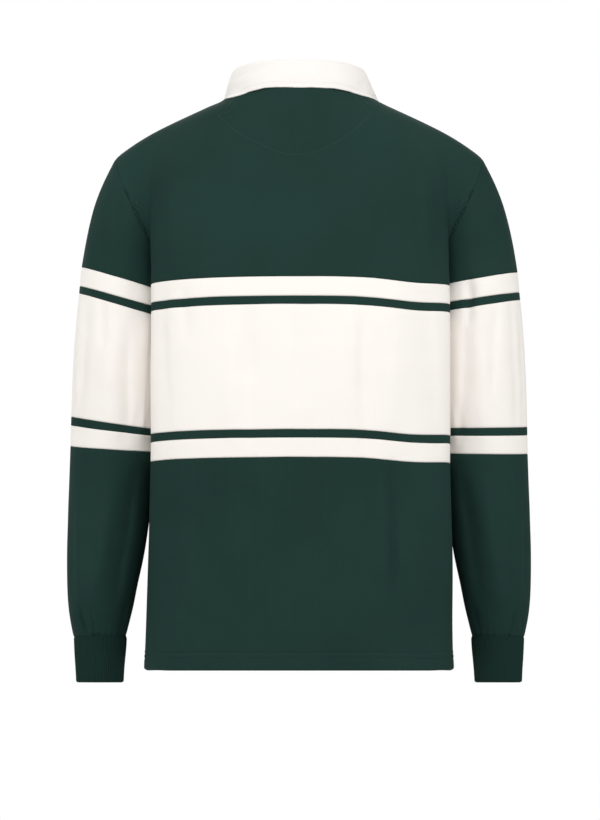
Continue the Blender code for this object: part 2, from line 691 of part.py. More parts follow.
def make_collar(shoulders):
    """The stand, a strip that rises from the neckline, and the fall, which rolls over it."""
    corners = neckline_line(shoulders)
    count = 2 * len(corners) - 1
    chords = np.array([(corners[index // 2] + corners[(index + 1) // 2]) / 2 for index in range(count)])
    line = np.array([smooth_read(np.arange(len(corners)), corners, index / 2) for index in range(count)])
    places = np.abs(np.linspace(-1.0, 1.0, count))
    centre = np.array((0.0, (NECK_BACK[1] + NECK_FRONT[1]) / 2, 0.0))
    axis = unit(NECK_AXIS)
    stand_outer = []
    stand_inner = []
    fall_outer = []
    fall_inner = []
    for index, point in enumerate(line):
        table = [section[1:] for section in COLLAR_SECTIONS]
        stand, foot_x, foot_y = smooth_read([part.place for part in COLLAR_SECTIONS], table, places[index])
        before = line[max(index - 1, 0)]
        after = line[min(index + 1, count - 1)]
        along = unit(after - before)
        away = unit(np.cross(along, axis))
        if np.dot(away, point - centre) < 0:
            away = -away
        rise = unit(axis - away * STAND_TAPER)
        outer = [point + rise * (SEAM_GAP + stand * row / STAND_ROWS) for row in range(STAND_ROWS + 1)]
        outer[0] = chords[index] + rise * SEAM_GAP
        stand_outer.append(outer)
        stand_inner.append([place - away * TWILL_WALL for place in outer])
        crown = outer[-1] + rise * SEAM_GAP
        hub = crown + away * ROLL_RADIUS
        exposed = []
        hidden = []
        for step in range(ROLL_STEPS + 1):
            turn = math.pi * (1.0 - step / ROLL_STEPS)
            spoke = away * math.cos(turn) + rise * math.sin(turn)
            exposed.append(hub + spoke * (ROLL_RADIUS + TWILL_WALL))
            hidden.append(hub + spoke * ROLL_RADIUS)
        foot_x = math.copysign(foot_x, index - count // 2)
        foot = np.array((foot_x, foot_y, cloth_height(shoulders, foot_x, foot_y) + FALL_LIFT))
        start = hidden[-1]
        outward = unit(np.cross(foot - start, along))
        if np.dot(outward, away) < 0:
            outward = -outward
        for row in range(1, FALL_ROWS + 1):
            share = row / FALL_ROWS
            place = start + (foot - start) * share
            place = place + outward * FALL_BULGE * math.sin(math.pi * share)
            under = cloth_height(shoulders, place[0], place[1])
            if under is not None:
                place[2] = max(place[2], under + FALL_LIFT)
            hidden.append(place)
            exposed.append(place + outward * TWILL_WALL)
        fall_outer.append(exposed)
        fall_inner.append(hidden)
    for name, outer, inner in (("collar_stand", stand_outer, stand_inner),
                               ("collar_fall", fall_outer, fall_inner)):
        outer = np.array(outer)
        inner = np.array(inner)
        cells = grid_cells(outer.shape[0], outer.shape[1])
        wall_piece(name, "cream", keyed(outer), keyed(inner), cells)


def make_placket(shoulders):
    """The strip on the front of the slit, the strip behind it, and the buttons."""
    outer, inner = shoulders[-1]
    first = outer.shape[0] - 1 - PLACKET_ROWS
    columns = [COLUMNS - 1, COLUMNS, COLUMNS + 1]
    strip = outer[first:, columns]
    back_strip = inner[first:, columns]
    through = unit(strip - back_strip)
    lift = LAY_GAP + TWILL_WALL
    cells = grid_cells(strip.shape[0], strip.shape[1])
    wall_piece("placket_front", "cream", keyed(strip + through * lift), keyed(strip + through * LAY_GAP), cells)
    wall_piece("placket_behind", "cream", keyed(back_strip - through * LAY_GAP),
               keyed(back_strip - through * lift), cells)
    centre_line = strip[:, 1] + through[:, 1] * (lift + SEAM_GAP)
    steps = np.linalg.norm(np.diff(centre_line, axis=0), axis=1)
    length = np.concatenate(([0.0], np.cumsum(steps)))
    for number in range(BUTTON_COUNT):
        mark = length[-1] * (number + BUTTON_FIRST_PLACE) / BUTTON_COUNT
        place = np.array([np.interp(mark, length, centre_line[:, axis]) for axis in range(3)])
        facing = unit(np.array([np.interp(mark, length, through[:, 1, axis]) for axis in range(3)]))
        make_button(f"button_{number + 1}", place, facing)


def make_button(name, place, facing):
    """A plain round button with a rounded rim and a shallow dished face."""
    mesh = bpy.data.meshes.new(name)
    shell = bmesh.new()
    line = [shell.verts.new((rim.radius_share * BUTTON_RADIUS * MM, 0.0, rim.height * MM))
            for rim in BUTTON_PROFILE]
    edges = [shell.edges.new(pair) for pair in zip(line, line[1:])]
    bmesh.ops.spin(shell, geom=line + edges, cent=(0.0, 0.0, 0.0), axis=(0.0, 0.0, 1.0),
                   angle=2 * math.pi, steps=BUTTON_SIDES, use_merge=True)
    bmesh.ops.remove_doubles(shell, verts=shell.verts, dist=0.00001)
    bmesh.ops.recalc_face_normals(shell, faces=shell.faces)
    shell.to_mesh(mesh)
    shell.free()
    mesh.shade_smooth()
    mesh.set_sharp_from_angle(angle=SHARP_ANGLE)
    button = bpy.data.objects.new(name, mesh)
    tilt = math.atan2(-facing[1], facing[2])
    button.rotation_euler = (tilt, 0.0, 0.0)
    button.location = (place + facing * BUTTON_THICKNESS / 2 * BUTTON_STANDOFF) * MM
    add_to_collection(button, cloth_material(name, "button", 0.45))


def main():
    """Builds the whole shirt."""
    clear_scene()
    collection = bpy.data.collections.new(COLLECTION_NAME)
    bpy.context.scene.collection.children.link(collection)
    shoulders = make_panels()
    make_sleeve("left", 1)
    make_sleeve("right", -1)
    make_collar(shoulders)
    make_placket(shoulders)


main()
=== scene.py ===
import math

import bmesh
import bpy
import numpy as np
from mathutils import Matrix, Vector
from mathutils.bvhtree import BVHTree


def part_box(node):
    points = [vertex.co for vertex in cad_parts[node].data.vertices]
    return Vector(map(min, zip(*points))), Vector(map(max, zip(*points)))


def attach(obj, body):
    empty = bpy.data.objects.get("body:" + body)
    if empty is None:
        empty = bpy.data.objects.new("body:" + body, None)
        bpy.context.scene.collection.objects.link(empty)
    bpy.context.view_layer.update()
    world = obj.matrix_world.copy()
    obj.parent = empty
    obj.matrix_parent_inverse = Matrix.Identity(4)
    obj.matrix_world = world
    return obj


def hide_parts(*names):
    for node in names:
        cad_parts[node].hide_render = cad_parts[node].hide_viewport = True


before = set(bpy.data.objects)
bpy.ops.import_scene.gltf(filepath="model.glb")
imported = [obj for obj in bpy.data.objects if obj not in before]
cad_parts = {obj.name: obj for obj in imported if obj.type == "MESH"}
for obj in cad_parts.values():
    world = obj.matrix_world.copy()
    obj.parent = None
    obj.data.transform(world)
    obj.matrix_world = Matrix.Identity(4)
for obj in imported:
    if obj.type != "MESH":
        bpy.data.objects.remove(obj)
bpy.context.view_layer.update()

# The studio. A long lens stands behind the shirt, level with its hem, and looks a little up, so the
# bands arch. Soft panels light it from above and both sides, before white paper, over a pale floor.
MM = 0.001
HEM_Z = -714.0
VIEW_DISTANCE = 4.0
PICTURE_HEIGHT = 820
SENSOR = 36.0
FOCAL_PIXELS = 3215
# how far the picture is shifted from the lens's axis, right and up, in pixels
SHIFT_RIGHT = 1
SHIFT_UP = 122.0
TILT_UP = math.radians(2.47)
FLOOR_Z = -1.32
FLOOR_RADIUS = 6.0
PAPER_WHITE = 1.0
SKY_STRENGTH = 0.60
PAPER = (0.83, 0.83, 0.82, 1.0)
PAPER_SHADE = (0.80, 0.80, 0.79, 1.0)
PAPER_BUMP = 0.001
SHEEN_TINT = (0.55, 0.68, 0.63, 1.0)
SHEEN_ROUGHNESS = 0.4
OBJECT_SPACE = 3


def placed(name, data):
    """An object in the scene, made from its mesh, lens or light."""
    item = bpy.data.objects.new(name, data)
    bpy.context.scene.collection.objects.link(item)
    return item


def mesh_from(shell, name):
    """A mesh made from a bmesh, which is then let go."""
    mesh = bpy.data.meshes.new(name)
    shell.to_mesh(mesh)
    shell.free()
    return mesh


lens = bpy.data.cameras.new("lens")
lens.sensor_fit = "VERTICAL"
lens.sensor_height = SENSOR
lens.lens = FOCAL_PIXELS / PICTURE_HEIGHT * SENSOR
lens.shift_x = SHIFT_RIGHT / PICTURE_HEIGHT
lens.shift_y = SHIFT_UP / PICTURE_HEIGHT
camera = placed("camera", lens)
camera.location = (0.0, VIEW_DISTANCE, HEM_Z * MM)
camera.rotation_euler = (math.pi / 2 + TILT_UP, 0.0, math.pi)
bpy.context.scene.camera = camera
bpy.context.scene.view_settings.view_transform = "Standard"


class Wire:
    """A shader socket on which plain sums build Math nodes."""

    def __init__(self, tree, socket):
        self.tree = tree
        self.socket = socket

    @classmethod
    def node(cls, tree, kind, settings, inputs, output=0):
        """A node from its type, its settings, and what its sockets hold."""
        made = tree.nodes.new(kind)
        for name, value in settings.items():
            setattr(made, name, value)
        for name, value in inputs.items():
            if isinstance(value, Wire):
                tree.links.new(value.socket, made.inputs[name])
            else:
                made.inputs[name].default_value = value
        return cls(tree, made.outputs[output])

    def sum_of(self, operation, *others):
        """A Math node on this socket and others."""
        inputs = dict(enumerate((self,) + others))
        return Wire.node(self.tree, "ShaderNodeMath", {"operation": operation}, inputs)

    def __add__(self, other):
        return self.sum_of("ADD", other)

    def __sub__(self, other):
        return self.sum_of("SUBTRACT", other)

    def __rsub__(self, other):
        return (self * -1.0) + other

    def __mul__(self, other):
        return self.sum_of("MULTIPLY", other)

    __radd__ = __add__
    __rmul__ = __mul__

    def sine(self):
        return self.sum_of("SINE")

    def size(self):
        return self.sum_of("ABSOLUTE")

    def step_up(self, low, high):
        """Nought below low, one above high, and smooth between."""
        settings = {"interpolation_type": "SMOOTHSTEP"}
        inputs = {"Value": self, "From Min": low, "From Max": high}
        return Wire.node(self.tree, "ShaderNodeMapRange", settings, inputs)


def mixed(tree, share, first, second):
    """Two colours mixed by a share."""
    return Wire.node(tree, "ShaderNodeMix", {"data_type": "RGBA"}, {0: share, 6: first, 7: second}, 2)


def noise(tree, scale, detail):
    """Uneven patches or grain in a piece's own space."""
    place = Wire.node(tree, "ShaderNodeTexCoord", {}, {}, OBJECT_SPACE)
    return Wire.node(tree, "ShaderNodeTexNoise", {}, {"Vector": place, "Scale": scale, "Detail": detail})


def blank_material(name):
    """A material with its tree and its shader."""
    material = bpy.data.materials.new(name)
    material.use_nodes = True
    tree = material.node_tree
    return material, tree, tree.nodes["Principled BSDF"]


def finish_material(tree, shader, colour, roughness, height, distance, gloss=0.5, sheen=0.0):
    """Joins a material's colour, roughness and height to its shader."""
    tree.links.new(colour.socket, shader.inputs["Base Color"])
    tree.links.new(roughness.socket, shader.inputs["Roughness"])
    bump = Wire.node(tree, "ShaderNodeBump", {}, {"Height": height, "Distance": distance})
    tree.links.new(bump.socket, shader.inputs["Normal"])
    shader.inputs["Specular IOR Level"].default_value = gloss
    shader.inputs["Sheen Weight"].default_value = sheen
    shader.inputs["Sheen Roughness"].default_value = SHEEN_ROUGHNESS
    shader.inputs["Sheen Tint"].default_value = SHEEN_TINT


floor_bmesh = bmesh.new()
bmesh.ops.create_circle(floor_bmesh, cap_ends=True, segments=96, radius=FLOOR_RADIUS,
                        matrix=Matrix.Translation((0.0, 0.0, FLOOR_Z)))
floor = placed("floor", mesh_from(floor_bmesh, "floor"))
paper, tree, shader = blank_material("floor_paper")
cloud = noise(tree, 1.5, 2.0)
finish_material(tree, shader, mixed(tree, cloud, PAPER, PAPER_SHADE), cloud * 0.1 + 0.8, cloud, PAPER_BUMP)
floor.data.materials.append(paper)

sky = bpy.data.worlds.new("sky")
sky.use_nodes = True
background = sky.node_tree.nodes["Background"]
background.inputs["Color"].default_value = (1.0, 1.0, 1.0, 1.0)
seen = Wire.node(sky.node_tree, "ShaderNodeLightPath", {}, {})
strength = seen * (PAPER_WHITE - SKY_STRENGTH) + SKY_STRENGTH
sky.node_tree.links.new(strength.socket, background.inputs["Strength"])
bpy.context.scene.world = sky

# name: (place, aimed at, width, height, watts)
PANELS = {
    "panel_back": ((0.0, 1.5, 1.1), (0.0, 0.1, -0.2), 1.3, 0.7, 15.0),
    "panel_left": ((2.2, 1.7, 0.5), (0.0, 0.0, -0.35), 0.8, 1.6, 13.0),
    "panel_right": ((-2.2, 1.7, 0.5), (0.0, 0.0, -0.35), 0.8, 1.6, 13.0),
    "panel_front": ((0.0, -1.6, 1.1), (0.0, -0.1, -0.2), 1.3, 0.7, 16.0),
    "panel_front_left": ((2.2, -1.7, 0.5), (0.0, 0.0, -0.35), 0.8, 1.6, 10.0),
}
for name, (spot, aim, width, height, watts) in PANELS.items():
    light = bpy.data.lights.new(name, "AREA")
    light.shape = "RECTANGLE"
    light.size = width
    light.size_y = height
    light.energy = watts
    panel = placed(name, light)
    panel.location = spot
    panel.rotation_euler = (Vector(aim) - Vector(spot)).to_track_quat("-Z", "Y").to_euler()

# The back and the front. Each is seven bands of heavy cotton jersey, overlocked side to side and
# joined at the sides and shoulders. Their folds run down from the shoulders and break at the hem.
FLAT_MAP = 2
GREEN = (0.0165, 0.0455, 0.0380, 1.0)
GREEN_DEEP = (0.0095, 0.0275, 0.0225, 1.0)
CREAM = (0.945, 0.905, 0.860, 1.0)
CREAM_DEEP = (0.865, 0.820, 0.770, 1.0)
JERSEY_GLOSS = 0.08
JERSEY_BUMP = 0.00016
JERSEY_WALL = 1.6
WALE_PITCH = 1.35
COURSE_PITCH = 1.0
SHARP_ANGLES = (55.0, 48.0, 42.0, 36.0, 31.0, 27.0)
OUTER_SHARE = 0.6
FINE_LEVELS = 3
SEAM_MERGE = 0.5
SEAM_LIP = 1.4
STRIPE_LIP = 0.8
SEAM_SINK = 0.55
OFF_SEAM = 6.0
ARMHOLE_REACH = 14.0
NECK_REACH = 26.0
NECK_RAISE = 3.6
NECK_OUT = 1.6
RIGHT_OUT = 3.6
TIP_DROP = 0.9
TIP_X = 229.0
HEM_ROWS = (15.0, 21.0)
HEM_GROOVE = 1.3
HEM_RAISE = 0.5
HEM_PULL = 0.55
HEM_CORNER = 5.0
HEM_CORNER_ROWS = (2.2, 3.6, 5.0)
FOLD_STRENGTH = 1.5
BAND_NAMES = ("hem_block", "lower_band", "lower_stripe", "chest_block", "upper_stripe", "upper_band",
              "shoulder")
BAND_CREAM = ("lower_band", "chest_block", "upper_band")


def axes(tree, output):
    """The three axes of a cloth's flat map, or of a piece's own space."""
    place = Wire.node(tree, "ShaderNodeTexCoord", {}, {}, output)
    split = Wire.node(tree, "ShaderNodeSeparateXYZ", {}, {"Vector": place})
    return [Wire(tree, socket) for socket in split.socket.node.outputs]


def painted(tree, name):
    """A value that a mesh carries at its points."""
    return Wire.node(tree, "ShaderNodeAttribute", {"attribute_name": name}, {}, 2)


def jersey(name, pale):
    """Cotton jersey: fine upright wales, a soft nap, and painted shade where a seam presses it in."""
    material, tree, shader = blank_material(name)
    base, deep = (CREAM, CREAM_DEEP) if pale else (GREEN, GREEN_DEEP)
    across, down, _ = axes(tree, FLAT_MAP)
    wale = (across * (math.pi / (WALE_PITCH * MM))).sine().size()
    lean = (across * (2 * math.pi / (WALE_PITCH * MM))).sine() * 0.9
    course = (down * (2 * math.pi / (COURSE_PITCH * MM)) + lean).sine() * 0.5 + 0.5
    knit = wale * (course * 0.45 + 0.55)
    fuzz = noise(tree, 900.0, 3.0)
    patch = noise(tree, 7.0, 3.0)
    # painted shade: the jersey darkens towards its deep colour within 2.6 mm of a seam, as a contact shadow
    seam_shade = 1.0 - painted(tree, "seam").step_up(0.0, 2.6)
    tone = knit * 0.34 + fuzz * 0.22 + patch * 0.44
    low, high = (0.05, 0.55) if pale else (0.22, 0.72)
    shade = mixed(tree, tone.step_up(low, high), deep, base)
    colour = mixed(tree, seam_shade * 0.42, shade, deep)
    finish_material(tree, shader, colour, fuzz * 0.12 + 0.82, knit * 0.55 + fuzz * 0.45, JERSEY_BUMP,
                    gloss=JERSEY_GLOSS, sheen=0.015)
    return material


JERSEYS = {pale: jersey("jersey_cream" if pale else "jersey_green", pale) for pale in (False, True)}


def smooth_regions(wall, centre, sharp_angle):
    """The parts of a wall's surface that face out from its centre and in to it, up to its sharp edges."""
    regions = []
    seen = set()
    for first in wall.faces:
        if first in seen:
            continue
        region = {first}
        waiting = [first]
        while waiting:
            for edge in waiting.pop().edges:
                if len(edge.link_faces) == 2 and edge.calc_face_angle(math.pi) <= sharp_angle:
                    fresh = [face for face in edge.link_faces if face not in region]
                    region.update(fresh)
                    waiting.extend(fresh)
        seen |= region
        outward = 0.0
        for face in region:
            middle = face.calc_center_median()
            outward += face.calc_area() * face.normal.dot(middle - Vector(centre(middle.z)))
        regions.append((outward, region))
    return max(regions, key=lambda each: each[0])[1], min(regions, key=lambda each: each[0])[1]


def outer_face(name, centre):
    """A CAD wall's outer face alone, as a mesh: no inner face and no cut edges."""
    wall = bmesh.new()
    wall.from_mesh(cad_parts[name].data)
    bmesh.ops.remove_doubles(wall, verts=wall.verts, dist=0.00002)
    wall.normal_update()
    whole_area = sum(face.calc_area() for face in wall.faces)
    for sharp_angle in SHARP_ANGLES:
        outer, inner = smooth_regions(wall, centre, math.radians(sharp_angle))
        if sum(face.calc_area() for face in outer) < OUTER_SHARE * whole_area:
            break
    inner_corners = {vertex for face in inner - outer for vertex in face.verts}
    rest = [face for face in wall.faces if face not in outer or inner_corners.intersection(face.verts)]
    bmesh.ops.delete(wall, geom=rest, context="FACES")
    return mesh_from(wall, name)


def one_cloth(names, centre, merge, levels):
    """The outer faces of several walls, sewn into one fine smooth mesh that remembers each wall."""
    whole = bmesh.new()
    for index, name in enumerate(names):
        mesh = outer_face(name, centre)
        for face in mesh.polygons:
            face.material_index = index
        whole.from_mesh(mesh)
        bpy.data.meshes.remove(mesh)
    bmesh.ops.remove_doubles(whole, verts=whole.verts, dist=merge * MM)
    bmesh.ops.join_triangles(whole, faces=whole.faces, cmp_materials=True,
                             angle_face_threshold=math.pi, angle_shape_threshold=math.pi)
    held = whole.edges.layers.float.new("crease_edge")
    for edge in whole.edges:
        if len({face.material_index for face in edge.link_faces}) > 1:
            edge[held] = 1.0
    return refined(mesh_from(whole, "cloth"), levels)


def refined(mesh, levels):
    """The mesh after smooth subdivision."""
    item = placed("fine", mesh)
    smooth = item.modifiers.new("smooth", "SUBSURF")
    smooth.levels = levels
    smooth.render_levels = levels
    smooth.boundary_smooth = "PRESERVE_CORNERS"
    fine = bpy.data.meshes.new_from_object(item.evaluated_get(bpy.context.evaluated_depsgraph_get()))
    bpy.data.objects.remove(item)
    bpy.data.meshes.remove(mesh)
    return fine


def read_points(mesh):
    """A mesh's vertices and their normals, in millimetres."""
    points = np.zeros(len(mesh.vertices) * 3)
    normals = np.zeros(len(mesh.vertices) * 3)
    mesh.vertices.foreach_get("co", points)
    mesh.vertex_normals.foreach_get("vector", normals)
    return points.reshape(-1, 3) / MM, normals.reshape(-1, 3)


def write_points(mesh, points):
    mesh.vertices.foreach_set("co", (points * MM).ravel())
    mesh.update()


def smooth_step(value, low, high):
    share = np.clip((value - low) / (high - low), 0.0, 1.0)
    return share * share * (3.0 - 2.0 * share)


def wander(value, seed):
    """A slow uneven wave in one direction, between about -1 and 1."""
    return (np.sin(value * 0.021 + seed * 1.7) + 0.6 * np.sin(value * 0.047 + seed * 4.1)
            + 0.4 * np.sin(value * 0.093 + seed * 2.3)) / 1.6


def crease(across, down, top, foot, half_width, depth, seed):
    """One soft fold: uneven along its length, steeper on one side, and faded at both ends."""
    share = (top - down) / (top - foot)
    inside = (share > 0.0) & (share < 1.0)
    fade = np.sin(math.pi * np.clip(share, 0.0, 1.0)) ** 0.7
    uneven = 1.0 + 0.28 * wander(down * 2.0, seed)
    skew = np.where(across > 0.0, 1.0 + 0.35 * math.sin(seed), 1.0 - 0.35 * math.sin(seed))
    return np.where(inside, depth * fade * uneven * np.exp(-(across / (half_width * skew)) ** 2), 0.0)


# (face, x at top, x at foot, top, foot, half width, depth); face 1 is the back
BODY_CREASES = (
    (1, 140, 141, -246, -318, 8, -1.4),
    (1, 166, 162, -238, -440, 8, -1.6),
    (1, 57, 60, -270, -425, 10, -1.6),
    (1, 84, 80, -300, -452, 14, 1.2),
    (1, 6, 2, -284, -396, 11, -1.4),
    (1, -64, -66, -262, -452, 8, 1.7),
    (1, -76, -78, -262, -452, 9, -1.5),
    (1, -118, -110, -250, -430, 20, 1.6),
    (1, -152, -164, -236, -452, 13, -1.9),
    (1, 62, 50, -452, -660, 10, -1.6),
    (1, 132, 150, -540, -700, 9, 1.4),
    (1, -101, -102, -452, -636, 7, 1.7),
    (1, -114, -116, -452, -640, 5, -2.3),
    (1, -88, -90, -460, -600, 6, -0.9),
    (1, -20, -30, -470, -700, 18, 1.3),
    (1, 100, 92, -470, -640, 14, -1.1),
    (1, 30, 24, -96, -236, 22, -0.9),
    (1, -92, -106, -70, -230, 18, -1.1),
    (1, 104, 122, -76, -228, 18, -1.0),
    (1, 77, 91, -4, -27, 2.6, 1.3),
    (1, 71, 84, -7, -29, 2.6, 1.0),
    (1, -67, -90, 0, -21, 3.0, 1.3),
    (1, 150, 158, -96, -232, 8, 1.4),
    (1, -150, -156, -96, -232, 8, 1.4),
    (-1, 88, 80, -180, -452, 14, -1.8),
    (-1, 40, 34, -240, -440, 11, 1.3),
    (-1, -36, -44, -250, -452, 12, -1.6),
    (-1, -96, -104, -150, -420, 15, 1.7),
    (-1, -140, -152, -200, -452, 11, -2.4),
    (-1, 144, 160, -190, -440, 11, -2.4),
    (-1, 62, 56, -452, -700, 12, -1.7),
    (-1, 12, 6, -460, -640, 12, 1.2),
    (-1, -80, -92, -452, -680, 10, -1.9),
    (-1, -112, -118, -470, -700, 9, 1.5),
    (-1, 108, 118, -480, -700, 11, 1.5),
)
# Small pinches at the band seams: (face, x, height, half width, half height, depth)
BODY_PINCHES = (
    (1, 166, -262, 6, 11, -0.9),
    (1, 58, -430, 7, 14, -0.9),
    (1, -66, -247, 6, 12, 0.7),
    (1, -170, -430, 6, 14, -1.1),
    (1, -160, -262, 7, 12, -1.0),
    (1, -108, -462, 5, 12, -0.9),
    (1, -176, -700, 7, 14, -1.6),
    (1, -164, -690, 5, 12, 1.0),
    (-1, 80, -250, 7, 13, -0.9),
    (-1, -46, -440, 7, 13, -0.9),
    (-1, 150, -262, 6, 12, -1.0),
    (-1, -152, -440, 6, 12, -1.0),
)
WAVINESS = 0.35


def body_shift(points):
    """How far the folds move each point of the body out or in, in millimetres."""
    x, y, z = points.T
    face = np.where(y > 0.0, 1, -1)
    near_side = smooth_step(np.abs(y), 8.0, 45.0)
    shift = np.zeros(len(points))
    for seed, (side, top_x, foot_x, top, foot, half_width, depth) in enumerate(BODY_CREASES):
        share = (top - z) / (top - foot)
        centre = top_x + (foot_x - top_x) * share + 2.5 * wander(z, seed + 3)
        shift += (face == side) * crease(x - centre, z, top, foot, half_width, depth, seed)
    shift *= FOLD_STRENGTH
    for side, at_x, at_z, half_width, half_height, depth in BODY_PINCHES:
        bump = np.exp(-((x - at_x) / half_width) ** 2 - ((z - at_z) / half_height) ** 2)
        shift += (face == side) * depth * bump
    shift += WAVINESS * wander(x * 1.9 + z * 0.31, 5) * wander(z * 1.3 - x * 0.4, 8)
    return shift * near_side


def spread(points):
    """The body's points with its right side let out over the sleeve, where the photograph has it."""
    x, y, z = points.T
    height = smooth_step(-z, 150.0, 260.0) * (1.0 - smooth_step(-z, 560.0, 690.0))
    moved = points.copy()
    moved[:, 0] -= RIGHT_OUT * height * smooth_step(-x, 120.0, 182.0) * smooth_step(y, 5.0, 30.0)
    moved[:, 2] -= TIP_DROP * np.exp(-((np.abs(x) - TIP_X) / 4.0) ** 2 - (y / 9.0) ** 2) * (z > -95.0)
    return moved


def seam_fade(points, mesh, wanted, reach):
    """Nought at the wanted part of a cloth's edge, and one at a reach from it."""
    edge = bmesh.new()
    edge.from_mesh(mesh)
    line = [vertex.co / MM for vertex in edge.verts if vertex.is_boundary and wanted(vertex.co / MM)]
    line = np.array(line)
    edge.free()
    fade = np.ones(len(points))
    near = np.flatnonzero((points > line.min(axis=0) - reach).all(axis=1)
                          & (points < line.max(axis=0) + reach).all(axis=1))
    for start in range(0, len(near), 2000):
        some = near[start:start + 2000]
        away = np.linalg.norm(points[some, None] - line[None], axis=2).min(axis=1)
        fade[some] = smooth_step(away, 0.0, reach)
    return fade


def body_centre(level):
    return (0.0, 0.0, min(level, -0.06))


def in_groove(height):
    """Whether a height over the hem is on a row of its stitches."""
    return sum(np.abs(height - row) < HEM_GROOVE / 2 for row in HEM_ROWS).astype(bool)


def hem_shift(points, normals):
    """The turned-up hem stands a little proud, its stitches pull it in, and its side corners are round."""
    x, _, z = points.T
    height = z - HEM_Z
    shift = HEM_RAISE * (1.0 - smooth_step(height, HEM_ROWS[1], HEM_ROWS[1] + 4.0))
    shift -= HEM_PULL * (1.0 + 0.3 * wander(x * 6.0, 1)) * in_groove(height)
    turn = 1.0 - np.clip(height / HEM_CORNER, 0.0, 1.0)
    at_side = smooth_step(np.abs(normals[:, 0]), 0.6, 0.95)
    return shift - HEM_CORNER * at_side * (1.0 - np.sqrt(1.0 - turn * turn))


def lengths_along(line):
    """The length of a line up to each of its points."""
    return np.concatenate(([0.0], np.cumsum(np.linalg.norm(np.diff(line, axis=0), axis=1))))


def arc_table(tree, levels, angles, reach):
    """The length of cloth from the middle of a panel round to each angle, at each level."""
    table = []
    for level in levels:
        radii = []
        for angle in angles:
            way = Vector((math.sin(angle), math.cos(angle), 0.0))
            hit = tree.ray_cast(Vector((0.0, 0.0, level * MM)), way, reach)[0]
            radii.append(np.nan if hit is None else math.hypot(hit.x, hit.y) / MM)
        radii = np.array(radii)
        known = ~np.isnan(radii)
        radii = np.interp(angles, angles[known], radii[known]) if known.any() else np.array(table[-1])
        table.append(lengths_along(np.stack([radii * np.sin(angles), radii * np.cos(angles)], axis=1)))
    return np.array(table)


def tree_of(mesh):
    points, _ = read_points(mesh)
    return BVHTree.FromPolygons([tuple(point * MM) for point in points],
                                [tuple(face.vertices) for face in mesh.polygons])


def sample_table(table, levels, angles, level, angle):
    """The table's value at any level and angle."""
    row = np.clip((level - levels[0]) / (levels[1] - levels[0]), 0.0, len(levels) - 1.001)
    column = np.clip((angle - angles[0]) / (angles[1] - angles[0]), 0.0, len(angles) - 1.001)
    low_row = row.astype(int)
    low_column = column.astype(int)
    part_row = row - low_row
    part_column = column - low_column
    near = table[low_row, low_column] * (1 - part_column) + table[low_row, low_column + 1] * part_column
    far = table[low_row + 1, low_column] * (1 - part_column)
    far = far + table[low_row + 1, low_column + 1] * part_column
    return near * (1 - part_row) + far * part_row


def wall_of(fine, index, name, flatten, wall, lip=SEAM_LIP, sink=SEAM_SINK, lip_seam=SEAM_LIP, rim_seam=0.0):
    """One wall cut out of the fine cloth, with its pressed seam edges, thickness and flat places."""
    piece = bmesh.new()
    piece.from_mesh(fine)
    others = [face for face in piece.faces if face.material_index != index]
    bmesh.ops.delete(piece, geom=others, context="FACES")
    piece.normal_update()
    seam = piece.verts.layers.float.get("seam")
    if seam is None:
        seam = piece.verts.layers.float.new("seam")
        for vertex in piece.verts:
            vertex[seam] = OFF_SEAM
    inset = bmesh.ops.inset_region(piece, faces=piece.faces, use_boundary=True, use_even_offset=False,
                                   thickness=lip * MM, depth=0.0)
    rim = {vertex for edge in piece.edges if edge.is_boundary for vertex in edge.verts}
    # Low seam values at the lip ring and at the rim are where the materials paint shade along the seam.
    for face in inset["faces"]:
        for vertex in face.verts:
            vertex[seam] = min(vertex[seam], lip_seam)
    for vertex in rim:
        vertex[seam] = rim_seam
        vertex.co -= vertex.normal * sink * MM
    for face in piece.faces:
        face.material_index = 0
        face.smooth = True
    layer = piece.loops.layers.uv.new("flat")
    points = np.array([vertex.co for vertex in piece.verts]) / MM
    flat = flatten(points)
    for face in piece.faces:
        for loop in face.loops:
            loop[layer].uv = flat[loop.vert.index] * MM
    item = placed(name, mesh_from(piece, name))
    thick = item.modifiers.new("wall", "SOLIDIFY")
    thick.thickness = wall * MM
    thick.offset = -1.0
    return item


def cloth_area(item):
    """The area of the cloth as it was cut, from its outer face."""
    return sum(face.area for face in item.data.polygons)


def declare(item, node, flat_width, flat_length, rests_on):
    """Attaches a cut piece of cloth to the root, hides the CAD part it stands for, and works out its area.
    """
    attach(item, "root")
    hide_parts(node)
    area = min(cloth_area(item), flat_width * flat_length)


def jersey_band(fine, index, node, band, flatten, flats):
    """One band of the fine cloth, made of its own jersey."""
    item = wall_of(fine, index, node + "_cloth", flatten, JERSEY_WALL,
                   lip=STRIPE_LIP if "stripe" in band else SEAM_LIP)
    item.data.materials.append(JERSEYS[band in BAND_CREAM])
    declare(item, node, *flats[band], rests_on=[])


body_names = [f"{face}_{band}" for face in ("back", "front") for band in BAND_NAMES]
body = one_cloth(body_names, body_centre, SEAM_MERGE, FINE_LEVELS)
ruled = bmesh.new()
ruled.from_mesh(body)
lines = [row + off for row in HEM_ROWS for off in (-HEM_GROOVE, 0.0, HEM_GROOVE)]
for height in lines + list(HEM_CORNER_ROWS):
    bmesh.ops.bisect_plane(ruled, geom=ruled.verts[:] + ruled.edges[:] + ruled.faces[:], dist=0.00001,
                           plane_co=(0.0, 0.0, (HEM_Z + height) * MM), plane_no=(0.0, 0.0, 1.0))
ruled.to_mesh(body)
ruled.free()
points, normals = read_points(body)
